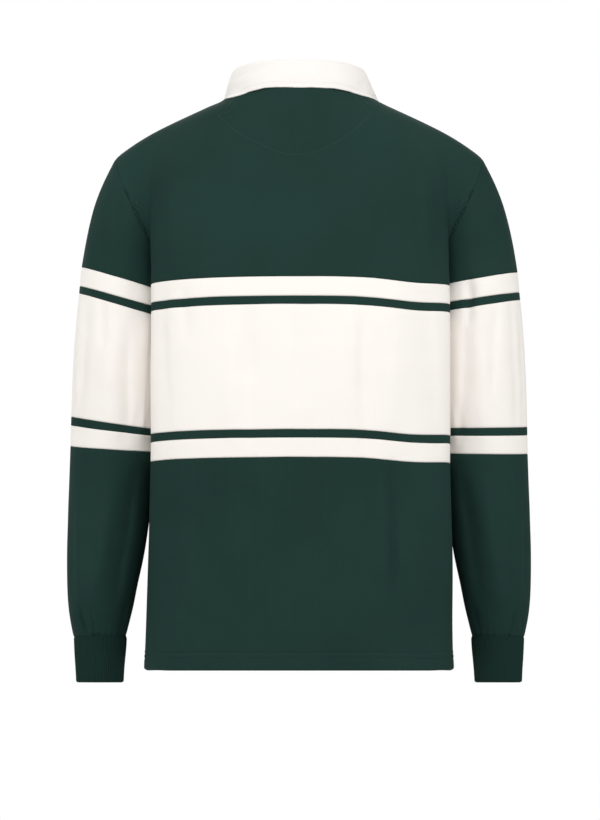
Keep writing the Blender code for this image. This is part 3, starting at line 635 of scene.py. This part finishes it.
# The seam layer is nought along the hem's stitch rows, so the jersey paints shade in their grooves.
seam_shade = body.attributes.new("seam", "FLOAT", "POINT")
groove_shade = np.where(in_groove(points[:, 2] - HEM_Z), 0.0, OFF_SEAM)
seam_shade.data.foreach_set("value", groove_shade.astype(np.float32))
fade = seam_fade(points, body, lambda place: abs(place.x) > 130 and place.z > -240, ARMHOLE_REACH)
neck = 1.0 - seam_fade(points, body, lambda place: abs(place.x) < 85 and place.y > 5 and place.z > -70,
                       NECK_REACH)
neck *= smooth_step(points[:, 1], 5.0, 30.0)
moved = spread(points) + np.outer(neck, (0.0, NECK_OUT, NECK_RAISE))
write_points(body, moved + normals * (body_shift(points) * fade + hem_shift(points, normals))[:, None])
body_tree = tree_of(body)
body_levels = np.arange(-712.0, 1.0, 12.0)
quarter = np.radians(np.arange(0.0, 90.1, 1.5))
body_arcs = {1: arc_table(body_tree, body_levels, quarter, 0.4),
             -1: arc_table(body_tree, body_levels, math.pi - quarter[::-1], 0.4)}


def body_flat(face):
    """Where each point of a panel lies on the cloth before it was sewn up."""
    def flatten(points):
        x, y, z = points.T
        angle = np.arctan2(np.abs(x), np.maximum(face * y, 0.001))
        table = body_arcs[face]
        if face < 0:
            table = (table[:, -1:] - table)[:, ::-1]
        length = sample_table(table, body_levels, quarter, z, angle)
        return np.stack([np.sign(x) * length, z], axis=1)
    return flatten


# flat width and length of each band as it was cut, in metres
BAND_FLATS = {"hem_block": (0.58, 0.262), "lower_band": (0.58, 0.024), "lower_stripe": (0.58, 0.0105),
              "chest_block": (0.58, 0.152), "upper_stripe": (0.575, 0.0105), "upper_band": (0.575, 0.024),
              "shoulder": (0.575, 0.30)}
for index, name in enumerate(body_names):
    face, band = name.split("_", 1)
    jersey_band(body, index, name, band, body_flat(1 if face == "back" else -1), BAND_FLATS)

# The sleeves. Each is a tube of the same seven bands, set into the armhole and sewn shut under the
# arm. It hangs close by the body, creases down its inner side, and is gathered into the cuff.
# level: (centre from the middle of the shirt, centre forward, mean radius)
SLEEVE_LINE = {
    -60: (206, 0, 40), -120: (206, 0, 56), -176: (208, 0, 64), -227: (218, 0, 57.6), -330: (226, 1, 56.4),
    -437: (231, -3, 52.6), -513: (237, -7, 49.6), -575: (242, -11, 46.4), -625: (247, -14, 41),
    -650: (249, -16, 37.6), -672: (249, -17, 31.3), -730: (249, -19, 30),
}
# (side, angle at top, angle at foot, top, foot, half width, depth); nought is the back, 90 outward
SLEEVE_CREASES = (
    (1, 42, 28, -630, -677, 2.0, -2.7),
    (1, 14, 5, -640, -677, 2.0, -1.6),
    (-1, 30, 25, -640, -677, 2.5, -1.7),
    (1, 48, 54, -250, -430, 8, -2.0),
    (1, 62, 60, -260, -420, 7, 1.2),
    (1, 26, 17, -246, -318, 6, -1.8),
    (1, 7, 3, -285, -436, 11, 1.7),
    (1, -12, -24, -288, -436, 8, -2.6),
    (1, -40, -46, -240, -420, 9, 1.2),
    (1, 20, 4, -120, -236, 12, -1.4),
    (1, 66, 52, -130, -236, 14, 1.3),
    (1, 34, 26, -452, -610, 13, -1.8),
    (1, -6, 10, -470, -640, 11, 1.6),
    (1, -38, -30, -460, -640, 10, -2.0),
    (1, 62, 58, -500, -640, 9, -1.4),
    (-1, 48, 50, -250, -430, 7, -1.8),
    (-1, 66, 66, -260, -440, 7, -1.3),
    (-1, 27, 9, -244, -384, 7, -1.9),
    (-1, 4, -2, -300, -436, 10, 1.5),
    (-1, -8, -17, -226, -290, 6, -3.2),
    (-1, -17, -38, -272, -436, 8, -2.5),
    (-1, 24, 8, -130, -236, 12, -1.3),
    (-1, 60, 50, -126, -236, 13, 1.3),
    (-1, 30, 22, -452, -620, 12, -1.7),
    (-1, -10, 4, -470, -640, 11, 1.5),
    (-1, -40, -34, -456, -640, 10, -2.0),
    (-1, 56, 60, -480, -640, 9, -1.5),
    (1, 130, 150, -180, -430, 11, -2.2),
    (1, 168, 178, -220, -440, 10, 1.6),
    (1, -140, -156, -230, -430, 10, -2.4),
    (1, 150, 162, -452, -640, 11, -1.9),
    (1, -160, -150, -460, -630, 10, 1.6),
    (-1, 134, 148, -190, -430, 11, -2.1),
    (-1, 172, 164, -230, -436, 10, 1.6),
    (-1, -144, -158, -226, -430, 10, -2.3),
    (-1, 146, 160, -452, -640, 11, -1.8),
    (-1, -162, -150, -456, -636, 10, 1.5),
)
# (side, angle, height, half width, half height, depth)
SLEEVE_PINCHES = (
    (1, -33, -408, 4, 15, -1.7),
    (1, -44, -404, 4, 18, 1.2),
    (1, -52, -406, 4, 18, -1.5),
    (1, 100, -262, 6, 12, -0.9),
    (-1, -36, -410, 4, 15, -1.6),
    (-1, -45, -406, 4, 16, 1.1),
    (-1, -12, -244, 5, 12, -1.4),
    (1, -58, -648, 6, 16, -1.8),
    (-1, 52, -652, 5, 12, -1.4),
    (-1, -54, -648, 6, 15, -1.6),
)
GATHERS = 23
GATHER_DEPTH = 0.5
GATHER_REACH = 7.0
TIP_SINK = 1.6
TIP_REACH = 9.0
END_TURN = 0.7
END_REACH = 2.5
END_FADE = 4.0
CUFF_TOP_Z = -672.0
INNER_SIDE = (-135.0, -45.0)
INNER_RISE = 0.4
SLEEVE_FLATS = {"cap": (0.375, 0.17), "upper_band": (0.365, 0.024), "upper_stripe": (0.365, 0.0105),
                "chest_block": (0.36, 0.15), "lower_stripe": (0.34, 0.0105), "lower_band": (0.34, 0.024),
                "forearm": (0.33, 0.225)}


def sleeve_line(level):
    """The middle and the mean radius of a sleeve at a height."""
    levels = sorted(SLEEVE_LINE)
    return [np.interp(level, levels, [SLEEVE_LINE[key][column] for key in levels]) for column in range(3)]


def sleeve_centre(side):
    def centre(level):
        across, forward, _ = sleeve_line(level / MM)
        return (side * across * MM, forward * MM, level)
    return centre


def sleeve_angle(points, side):
    """Each point's angle round the sleeve, and the sleeve's radius there."""
    x, y, z = points.T
    across, forward, radius = sleeve_line(z)
    return np.degrees(np.arctan2(side * x - across, y - forward)), radius


def sleeve_shift(points, side):
    """How far the folds and gathers move each point of a sleeve out or in."""
    z = points[:, 2]
    angle, radius = sleeve_angle(points, side)
    shift = np.zeros(len(points))
    for seed, (arm, top_angle, foot_angle, top, foot, half_width, depth) in enumerate(SLEEVE_CREASES):
        share = (top - z) / (top - foot)
        middle = top_angle + (foot_angle - top_angle) * share + 2.0 * wander(z, seed + 11)
        turn = (angle - middle + 180.0) % 360.0 - 180.0
        across = np.radians(turn) * radius
        shift += (arm == side) * crease(across, z, top, foot, half_width, depth, seed + 7)
    shift *= FOLD_STRENGTH
    for arm, at_angle, at_z, half_width, half_height, depth in SLEEVE_PINCHES:
        across = np.radians(angle - at_angle) * radius
        bump = np.exp(-(across / half_width) ** 2 - ((z - at_z) / half_height) ** 2)
        shift += (arm == side) * depth * bump
    shift *= smooth_step(z, CUFF_TOP_Z, CUFF_TOP_Z + END_FADE)
    turn = np.radians(angle)
    uneven = 1.0 + 0.5 * np.sin(3 * turn + 2 * side)
    ripple = np.sin(GATHERS * turn + 1.3 * np.sin(2 * turn + side)) * uneven
    height = np.maximum(z - CUFF_TOP_Z, 0.0)
    shift += GATHER_DEPTH * ripple * np.exp(-height / GATHER_REACH)
    shift -= END_TURN * np.exp(-height / END_REACH)
    shift += WAVINESS * wander(angle * 2.1 + z * 0.3, 6) * wander(z * 1.4, 9)
    inner = (angle > INNER_SIDE[0]) & (angle < INNER_SIDE[1]) & (z > CUFF_TOP_Z + 60.0)
    return np.where(inner, np.minimum(shift, INNER_RISE), shift)


def sleeve_flat(side):
    """Where each point of a sleeve lies on the cloth before it was sewn up."""
    def flatten(points):
        angle, radius = sleeve_angle(points, side)
        turn = (angle + 90.0) % 360.0 - 180.0
        return np.stack([np.radians(turn) * radius, points[:, 2]], axis=1)
    return flatten


def tip_share(y):
    """One on the line over the shoulder, and nought well before or behind it."""
    return math.exp(-(y / (TIP_REACH * MM)) ** 2)


def tucked(mesh, wanted, under, reach, sink, press, at_tip=0.0):
    """Carries the wanted part of a cloth's edge on past its seam, under its neighbour's outer face."""
    shell = bmesh.new()
    shell.from_mesh(mesh)
    shell.normal_update()
    edges = [edge for edge in shell.edges
             if edge.is_boundary and all(wanted(vertex.co / MM) for vertex in edge.verts)]
    ways = {}
    for vertex in {vertex for edge in edges for vertex in edge.verts}:
        inner = [edge.other_vert(vertex).co for edge in vertex.link_edges if not edge.is_boundary]
        inner = inner or [face.calc_center_median() for face in vertex.link_faces]
        ways[vertex] = (vertex.co - inner[0]).normalized()
    made = bmesh.ops.extrude_edge_only(shell, edges=edges)["geom"]
    fresh = {item for item in made if isinstance(item, bmesh.types.BMVert)}
    for vertex in fresh:
        seam = next(edge.other_vert(vertex) for edge in vertex.link_edges if edge.other_vert(vertex) in ways)
        hit, normal, _, _ = under.find_nearest(seam.co + ways[seam] * reach * MM)
        vertex.co = hit - normal * (sink + at_tip * tip_share(seam.co.y)) * MM
    for vertex in ways:
        vertex.co -= vertex.normal * (press + at_tip * 0.4 * tip_share(vertex.co.y)) * MM
    shell.to_mesh(mesh)
    shell.free()


SIDES = (("left", 1), ("right", -1))
sleeve_bands = ("cap",) + tuple(reversed(BAND_NAMES[1:-1])) + ("forearm",)
sleeve_trees = {}
for label, side in SIDES:
    names = [f"sleeve_{label}_{band}" for band in sleeve_bands]
    sleeve = one_cloth(names, sleeve_centre(side), SEAM_MERGE, FINE_LEVELS)
    points, normals = read_points(sleeve)
    fade = seam_fade(points, sleeve, lambda place: place.z > -300, ARMHOLE_REACH)
    write_points(sleeve, points + normals * (sleeve_shift(points, side) * fade)[:, None])
    tucked(sleeve, lambda place: place.z > -300, body_tree, reach=4.0, sink=1.3, press=0.4, at_tip=TIP_SINK)
    sleeve_trees[label] = tree_of(sleeve)
    for index, (name, band) in enumerate(zip(names, sleeve_bands)):
        jersey_band(sleeve, index, name, band, sleeve_flat(side), SLEEVE_FLATS)

# The cuffs. A cuff is a double layer of green rib, knitted in fine upright ribs that draw it in.
# Its fold is the open end, and its cut edges are sewn to the gathered sleeve.
RIB_WALL = 2.4
CUFF_DEPTH = 57.0
RIB_COUNT = 72
RIB_DEPTH = 0.32
RIB_BUMP = 0.00015
RIB_LEVELS = 4
CUFF_FLARE = 2.3
CUFF_FOLD = 3.0
CUFF_FLAT = (0.19, 0.058)
RIB_GREEN = (0.0125, 0.036, 0.0295, 1.0)
RIB_GREEN_DEEP = (0.006, 0.019, 0.0155, 1.0)


def waves(place, pitch):
    """Even waves between nought and one, at a pitch in millimetres."""
    return (place * (2 * math.pi / (pitch * MM))).sine() * 0.5 + 0.5


def rib_knit():
    """Rib: painted shade in the furrows between the ribs, rows of stitches along them, and a soft nap."""
    material, tree, shader = blank_material("rib_green")
    course = waves(axes(tree, FLAT_MAP)[1], COURSE_PITCH)
    fuzz = noise(tree, 900.0, 3.0)
    patch = noise(tree, 12.0, 2.0)
    # painted shade, darkest in the furrows between the ribs
    tone = (1.0 - painted(tree, "furrow_shade")) * 0.6 + patch * 0.25 + fuzz * 0.15
    colour = mixed(tree, tone.step_up(0.1, 0.8), RIB_GREEN_DEEP, RIB_GREEN)
    finish_material(tree, shader, colour, fuzz * 0.1 + 0.85, course * 0.6 + fuzz * 0.4, RIB_BUMP,
                    gloss=JERSEY_GLOSS, sheen=0.012)
    return material


rib_material = rib_knit()
for label, side in SIDES:
    name = f"cuff_{label}"
    cuff = one_cloth([name], sleeve_centre(side), SEAM_MERGE, RIB_LEVELS)
    points, normals = read_points(cuff)
    angle, _ = sleeve_angle(points, side)
    angle = np.radians(angle)
    rib = np.cos(angle * RIB_COUNT)
    slack = 0.5 * np.sin(angle * 3.0 + side) * smooth_step(-points[:, 2], 690.0, 730.0)
    level = (CUFF_TOP_Z - points[:, 2]) / CUFF_DEPTH
    flare = CUFF_FLARE * (1.0 - smooth_step(level, 0.0, 1.0)) * (1.0 - 0.4 * np.sin(angle))
    turn = np.clip((points[:, 2].min() + CUFF_FOLD - points[:, 2]) / CUFF_FOLD, 0.0, 1.0)
    fold = -0.8 * CUFF_FOLD * (1.0 - np.sqrt(1.0 - turn * turn))
    write_points(cuff, points + normals * (rib * RIB_DEPTH + slack + flare + fold)[:, None])
    # One in the furrows between the ribs, where the rib material paints shade.
    furrow_shade = cuff.attributes.new("furrow_shade", "FLOAT", "POINT")
    furrow_shade.data.foreach_set("value", (0.5 - 0.5 * rib).astype(np.float32))
    tucked(cuff, lambda place: place.z > CUFF_TOP_Z - 5.0, sleeve_trees[label],
           reach=5.0, sink=1.8, press=0.5)
    item = wall_of(cuff, 0, name + "_rib", sleeve_flat(side), RIB_WALL)
    item.data.materials.append(rib_material)
    declare(item, name, *CUFF_FLAT, rests_on=[f"sleeve_{label}_forearm_cloth"])

# The collar. A stand of cream cotton twill rises from the neckline, and the fall rolls over it and
# lies on the shoulders. Its edge is turned in and stitched round, seven millimetres from the edge.
TWILL_WALL = 1.5
TWILL_LEVELS = 2
TWILL_PITCH = 0.9
TWILL_BUMP = 0.00012
TWILL_MERGE = 0.05
TWILL_CREAM = (0.885, 0.850, 0.818, 1.0)
TWILL_CREAM_DEEP = (0.80, 0.760, 0.715, 1.0)
FALL_TOP = 34.0
FALL_FOOT = 4.0
FALL_STANDOFF = 2.0
FALL_RIGHT_SPREAD = 4.0
# (x, lift) along the back of the fall's lower edge
FALL_LIFTS = (
    (-95.4, -1.6), (-93.9, -4.5), (-91.2, -5.9), (-87.4, -7.2), (-82.4, -5.5), (-76.5, -4.0), (-69.7, -1.9),
    (-62.2, 0.6), (-53.6, 1.6), (-43.7, 2.3), (-33, 1.2), (-21.9, 1.0), (-10.7, 1.2), (0, 1.8), (10.7, 1.3),
    (21.9, 1.1), (33, 1.8), (43.7, 2.7), (53.6, 1.4), (62.2, 0), (69.7, -3.1), (76.5, -5.8), (82.4, -7.6),
    (87.4, -8.1), (91.2, -6.6), (93.9, -5.1), (95.4, -1.0),
)
NECK_MIDDLE = -12.0
NECK_RADIUS = 88.0
# (x, z at one end, x, z at the other, half width, depth), on the back of the collar
COLLAR_CREASES = (
    (86, 20, 28, 41, 2.6, -1.6),
    (88, 14, 58, 20, 5.0, 0.7),
    (-84, 20, -74, 4, 4.5, -0.9),
    (-40, 36, -10, 39, 4.0, 0.4),
)


def twill(name):
    """Cotton twill: fine slanting ridges, with painted shade along its seams and a thin painted shadow line
    along a turned edge.
    """
    material, tree, shader = blank_material(name)
    across, down, _ = axes(tree, FLAT_MAP)
    ridge = waves(across + down, TWILL_PITCH)
    yarn = waves(across - down, TWILL_PITCH * 0.4)
    fuzz = noise(tree, 1100.0, 2.0)
    patch = noise(tree, 16.0, 3.0)
    # painted shade near the seams, and a thin painted shadow line where the seam layer is nought inside the
    # collar's edge
    seam_shade = 1.0 - painted(tree, "seam").step_up(0.2, 2.4)
    weave = ridge * 0.7 + yarn * 0.3
    tone = weave * 0.3 + fuzz * 0.2 + patch * 0.5
    shade = mixed(tree, tone.step_up(0.05, 0.6), TWILL_CREAM_DEEP, TWILL_CREAM)
    colour = mixed(tree, seam_shade * 0.3, shade, TWILL_CREAM_DEEP)
    finish_material(tree, shader, colour, fuzz * 0.12 + 0.78, weave * 0.7 + fuzz * 0.3, TWILL_BUMP,
                    gloss=0.15)
    return material


def neck_centre(level):
    return (0.0, NECK_MIDDLE * MM, min(level, 0.0))


def neck_flat(points):
    x, y, z = points.T
    angle = np.arctan2(x, y - NECK_MIDDLE)
    return np.stack([angle * NECK_RADIUS, z + 0.5 * np.hypot(x, y)], axis=1)


def collar_shift(points):
    x, y, z = points.T
    shift = np.zeros(len(points))
    for x_one, z_one, x_two, z_two, half_width, depth in COLLAR_CREASES:
        way = np.array((x_two - x_one, z_two - z_one), dtype=float)
        length = np.hypot(*way)
        way = way / length
        along = ((x - x_one) * way[0] + (z - z_one) * way[1]) / length
        across = (x - x_one) * way[1] - (z - z_one) * way[0]
        fade = np.sin(math.pi * np.clip(along, 0.0, 1.0))
        shift += (y > 0.0) * depth * fade * np.exp(-(across / half_width) ** 2)
    return shift + 0.3 * wander(x * 3.1, 4) * wander(y * 2.7 + z, 2)


def hung(points):
    """The fall with the back of its edge drawn into its arch and laid on the shoulders."""
    moved = points.copy()
    x, y, z = points.T
    down = smooth_step(FALL_TOP - z, 0.0, FALL_TOP - FALL_FOOT)
    moved[:, 2] += np.interp(x, *np.array(FALL_LIFTS).T) * down * smooth_step(y, -22.0, 4.0)
    moved[:, 0] -= FALL_RIGHT_SPREAD * down * smooth_step(-x, 60.0, 95.0) * smooth_step(y, -70.0, -20.0)
    laid = smooth_step(down, 0.1, 0.3) * smooth_step(y, -22.0, 12.0)
    for index in np.flatnonzero(laid > 0.0):
        here = Vector(moved[index])
        hit = body_tree.ray_cast(Vector((here.x, 400.0, here.z)) * MM, Vector((0.0, -1.0, 0.0)))[0]
        if hit is not None:
            moved[index, 1] += laid[index] * min(max(hit.y / MM + FALL_STANDOFF - here.y, 0.0), 14.0)
    return moved


twill_material = twill("twill_cream")
collar_cloths = {}
for name, flat_size in (("collar_stand", (0.44, 0.036)), ("collar_fall", (0.50, 0.082))):
    cloth = one_cloth([name], neck_centre, TWILL_MERGE, TWILL_LEVELS)
    edge = {}
    if name == "collar_fall":
        write_points(cloth, hung(read_points(cloth)[0]))
        points, normals = read_points(cloth)
        write_points(cloth, points + normals * collar_shift(points)[:, None])
        # A nought at the lip ring paints a thin shadow line just inside the fall's turned edge; the rim is
        # left unshaded.
        edge = {"lip": 1.1, "sink": -0.1, "lip_seam": 0.0, "rim_seam": OFF_SEAM}
    item = wall_of(cloth, 0, name + "_cloth", neck_flat, TWILL_WALL, **edge)
    item.data.materials.append(twill_material)
    collar_cloths[name] = cloth
    declare(item, name, *flat_size, rests_on=["back_shoulder_cloth", "front_shoulder_cloth"])

# The placket. Two straight strips of the same twill close the slit at the front of the neck, one
# over the jersey and one behind it, stitched round their edges.
PLACKET_LEVELS = 3
PLACKET_FLAT = (0.033, 0.15)
placket_cloths = {}
for name in ("placket_front", "placket_behind"):
    cloth = one_cloth([name], body_centre, TWILL_MERGE, PLACKET_LEVELS)
    item = wall_of(cloth, 0, name + "_cloth", lambda points: points[:, [0, 2]], TWILL_WALL)
    item.data.materials.append(twill_material)
    placket_cloths[name] = cloth
    declare(item, name, *PLACKET_FLAT, rests_on=["front_shoulder_cloth"])

# The buttons. Each is a soft cream rubber disc with a raised rim and four holes, sewn to the
# placket with cream thread.
BUTTON_RADIUS = 6.5
BUTTON_SIDES = 64
# (share of the radius, height in millimetres)
BUTTON_PROFILE = ((0.0, 0.75), (0.5, 0.75), (0.62, 0.95), (0.72, 1.45), (0.84, 1.5), (0.94, 1.25),
                  (1.0, 0.6), (1.0, -0.5), (0.95, -1.2), (0.85, -1.5), (0.0, -1.5))
HOLE_RADIUS = 0.75
HOLE_PLACE = 1.55
HOLE_SIDES = 20
THREAD_RADIUS = 0.35
THREAD_HEIGHT = 0.78
STRAND_STEP = 0.32
PLY_PITCH = 0.55
RUBBER_BUMP = 0.00005
THREAD_BUMP = 0.00006
RUBBER = (0.84, 0.80, 0.72, 1.0)
RUBBER_DEEP = (0.70, 0.655, 0.575, 1.0)
THREAD_CREAM = (0.88, 0.84, 0.78, 1.0)


def rubber():
    """Soft rubber: a fine grain, and faint cloudy patches in its cream."""
    material, tree, shader = blank_material("button_rubber")
    grain = noise(tree, 2600.0, 2.0)
    patch = noise(tree, 180.0, 2.0)
    colour = mixed(tree, patch.step_up(0.3, 0.7), RUBBER, RUBBER_DEEP)
    finish_material(tree, shader, colour, grain * 0.2 + 0.38, grain, RUBBER_BUMP)
    return material


def thread(name, base):
    """Sewing thread: two plies twisted round each other, with a dull lustre."""
    material, tree, shader = blank_material(name)
    across, _, up = axes(tree, OBJECT_SPACE)
    ply = waves(across + up, PLY_PITCH)
    fuzz = noise(tree, 1500.0, 2.0)
    deep = tuple(part * 0.72 for part in base[:3]) + (1.0,)
    colour = mixed(tree, (ply * 0.5 + fuzz * 0.5).step_up(0.2, 0.7), deep, base)
    finish_material(tree, shader, colour, fuzz * 0.1 + 0.55, ply, THREAD_BUMP, gloss=0.3)
    return material


def finished(name, shell, material):
    """A small solid piece, from its bmesh."""
    bmesh.ops.recalc_face_normals(shell, faces=shell.faces)
    mesh = mesh_from(shell, name)
    mesh.shade_smooth()
    mesh.set_sharp_from_angle(angle=math.radians(40.0))
    mesh.materials.append(material)
    item = placed(name, mesh)
    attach(item, "root")
    return item


def facing_matrix(place, facing, along):
    """A place with its Z along one direction and its X near another."""
    facing = Vector(facing).normalized()
    side = facing.cross(Vector(along)).normalized()
    turned = Matrix((side.cross(facing), side, facing)).transposed().to_4x4()
    return Matrix.Translation(Vector(place)) @ turned


rubber_material = rubber()
cream_thread = thread("thread_cream", THREAD_CREAM)
placket_tree = tree_of(placket_cloths["placket_front"])
for number in (1, 2, 3):
    name = f"button_{number}"
    low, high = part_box(name)
    middle = (low + high) / 2
    _, facing, _, _ = placket_tree.find_nearest(middle)
    if facing.y > 0:
        facing = -facing
    seat = facing_matrix(middle, facing, (0.0, 0.0, 1.0))
    disc = bmesh.new()
    line = [disc.verts.new((share * BUTTON_RADIUS * MM, 0.0, height * MM))
            for share, height in BUTTON_PROFILE]
    edges = [disc.edges.new(pair) for pair in zip(line, line[1:])]
    bmesh.ops.spin(disc, geom=line + edges, cent=(0, 0, 0), axis=(0, 0, 1), angle=2 * math.pi,
                   steps=BUTTON_SIDES, use_merge=True)
    bmesh.ops.remove_doubles(disc, verts=disc.verts, dist=0.00001)
    button = finished(name + "_disc", disc, rubber_material)
    drill = bmesh.new()
    for turn in range(4):
        spot = Matrix.Rotation(math.pi / 2 * turn + math.pi / 4, 4, "Z") @ Matrix.Translation(
            (HOLE_PLACE * MM, 0.0, 0.0))
        bmesh.ops.create_cone(drill, cap_ends=True, segments=HOLE_SIDES, radius1=HOLE_RADIUS * MM,
                              radius2=HOLE_RADIUS * MM, depth=6.0 * MM, matrix=spot)
    drill_item = placed("drill", mesh_from(drill, "drill"))
    cut = button.modifiers.new("holes", "BOOLEAN")
    cut.object = drill_item
    cut.solver = "EXACT"
    holed = bpy.data.meshes.new_from_object(button.evaluated_get(bpy.context.evaluated_depsgraph_get()))
    button.modifiers.clear()
    bpy.data.objects.remove(drill_item)
    holed.transform(seat)
    button.data = holed
    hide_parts(name)
    strands = bmesh.new()
    for shift in (-1, 1):
        reach = HOLE_PLACE * math.sin(math.pi / 4)
        for step in (-1, 0, 1):
            aside = shift * reach + step * STRAND_STEP
            spot = seat @ Matrix.Translation((aside * MM, 0.0, THREAD_HEIGHT * MM))
            stretch = Matrix.Diagonal((THREAD_RADIUS * 0.6 * MM, reach * 1.25 * MM, THREAD_RADIUS * MM, 1.0))
            bmesh.ops.create_uvsphere(strands, u_segments=8, v_segments=8, radius=1.0, matrix=spot @ stretch)
    finished(name + "_thread", strands, cream_thread)

# The stitching that shows: two rows round the hem, the half-moon on the upper back, and one row
# round the collar's edge and the placket's.
STITCH_LIFT = 0.12
# length, gap and thickness of the stitches
HEM_STITCH = (2.7, 0.7, 0.5)
MOON_STITCH = (2.6, 0.7, 0.5)
EDGE_STITCH = (2.4, 0.6, 0.45)
COLLAR_INSET = 7.0
PLACKET_INSET = 2.0
THREAD_GREEN = (0.045, 0.088, 0.078, 1.0)
# (x, z) of the half-moon's line on the back, from the left shoulder round to the right
HALF_MOON = (
    (78, -12), (87, -26), (100, -28), (89, -42), (76, -55), (67, -61), (46, -72), (22, -83.5), (-5, -85.5),
    (-24, -80.5), (-46, -69), (-76, -43), (-88, -27), (-77, -14), (-68, -6),
)


def at_marks(marks, length, line):
    """What a line holds at each marked length."""
    return np.stack([np.interp(marks, length, column) for column in np.array(line).T], axis=1)


def even_line(points, normals, step):
    """A line of points at even steps, with its normals and its ways."""
    length = lengths_along(points)
    marks = np.arange(step / 2, length[-1], step)
    ahead = at_marks(marks + 0.5, length, points) - at_marks(marks - 0.5, length, points)
    return at_marks(marks, length, points), at_marks(marks, length, normals), ahead


def sewn(name, lines, length, gap, thick, material, slot):
    """Rows of stitches on the cloth: each is a small rounded bead of thread, half sunk."""
    bead = bmesh.new()
    bmesh.ops.create_uvsphere(bead, u_segments=6, v_segments=5, radius=0.5)
    bmesh.ops.rotate(bead, verts=bead.verts, cent=(0, 0, 0), matrix=Matrix.Rotation(math.pi / 2, 3, "Y"))
    bead_mesh = mesh_from(bead, "bead")
    rows = bmesh.new()
    for points, normals in lines:
        for at, up, ahead in zip(*even_line(points, normals, length + gap)):
            if np.linalg.norm(ahead) < 1e-6:
                continue
            seat = facing_matrix((at + up * STITCH_LIFT) * MM, up, ahead)
            spot = seat @ Matrix.Diagonal((length * MM, thick * MM, thick * 0.8 * MM, 1.0))
            copy = bead_mesh.copy()
            copy.transform(spot)
            rows.from_mesh(copy)
            bpy.data.meshes.remove(copy)
    return finished(name, rows, material)


def cast_line(tree, starts, ways):
    """Where rays meet the cloth, with its normals turned to face them."""
    points = []
    normals = []
    for start, way in zip(starts, ways):
        hit, normal, _, _ = tree.ray_cast(Vector(start) * MM, Vector(way), 2.0)
        if hit is not None:
            points.append(np.array(hit) / MM)
            normals.append(np.array(-normal if normal.dot(Vector(way)) > 0 else normal))
    return points, normals


def curve_through(table, count):
    """Many places on a smooth line through a table's places."""
    table = np.array(table, dtype=float)
    steps = lengths_along(table)
    slopes = np.gradient(table, steps, axis=0)
    places = np.linspace(0.0, steps[-1], count)
    low = np.clip(np.searchsorted(steps, places) - 1, 0, len(table) - 2)
    span = (steps[low + 1] - steps[low])[:, None]
    part = (places - steps[low])[:, None] / span
    return ((1 + 2 * part) * (1 - part) ** 2 * table[low] + part ** 2 * (3 - 2 * part) * table[low + 1]
            + part * (1 - part) ** 2 * span * slopes[low] + part ** 2 * (part - 1) * span * slopes[low + 1])


def edge_row(cloth, inset, wanted):
    """Rows on a piece of cloth at one distance from its edge, where the edge is wanted."""
    shell = bmesh.new()
    shell.from_mesh(cloth)
    tree = BVHTree.FromBMesh(shell)
    edge = next(edge for edge in shell.edges if edge.is_boundary)
    loop = [edge.verts[0], edge.verts[1]]
    while loop[-1] != loop[0]:
        onward = [each for each in loop[-1].link_edges if each.is_boundary]
        following = [each.other_vert(loop[-1]) for each in onward]
        loop.append(following[0] if following[0] != loop[-2] else following[1])
    ring = np.array([vertex.co for vertex in loop]) / MM
    shell.free()
    length = lengths_along(ring)
    line = at_marks(np.arange(0.0, length[-1], 1.0), length, ring)
    rows = [([], [])]
    for index, point in enumerate(line):
        along = Vector(line[(index + 2) % len(line)] - line[index - 2]).normalized()
        _, normal, _, _ = tree.find_nearest(Vector(point) * MM)
        inward = normal.cross(along) * inset
        tries = [tree.find_nearest((Vector(point) + inward * way) * MM) for way in (1.0, -1.0)]
        hit, up, _, _ = min(tries, key=lambda each: each[3])
        place = np.array(hit) / MM
        if wanted(point) and np.linalg.norm(ring - place, axis=1).min() > inset * 0.93:
            rows[-1][0].append(place)
            rows[-1][1].append(np.array(up))
        elif rows[-1][0]:
            rows.append(([], []))
    return [row for row in rows if len(row[0]) > 3]


green_thread = thread("thread_green", THREAD_GREEN)
for face, label in ((1, "back"), (-1, "front")):
    turns = np.linspace(-math.pi / 2, math.pi / 2, 500)
    ways = [(math.sin(turn), face * math.cos(turn), 0.0) for turn in turns]
    rows = [cast_line(body_tree, [(0.0, 0.0, HEM_Z + height)] * len(turns), ways) for height in HEM_ROWS]
    sewn(f"hem_stitches_{label}", rows, *HEM_STITCH, green_thread, f"{label}_hem_block")
moon = curve_through(HALF_MOON, 300)
row = cast_line(body_tree, [(x, 400.0, z) for x, z in moon], [(0.0, -1.0, 0.0)] * len(moon))
sewn("half_moon_stitches", [row], *MOON_STITCH, green_thread, "back_shoulder")


def outer_edge(point):
    """Whether an edge point of the fall is on its lower or front edge, not where it meets the stand."""
    return point[2] < 30.0 and math.hypot(point[0], point[1] - NECK_MIDDLE) > 60.0


sewn("collar_stitches", edge_row(collar_cloths["collar_fall"], COLLAR_INSET, outer_edge), *EDGE_STITCH,
     cream_thread, "collar_fall")
sewn("placket_stitches", edge_row(placket_cloths["placket_front"], PLACKET_INSET, lambda point: True),
     *EDGE_STITCH, cream_thread, "placket_front")
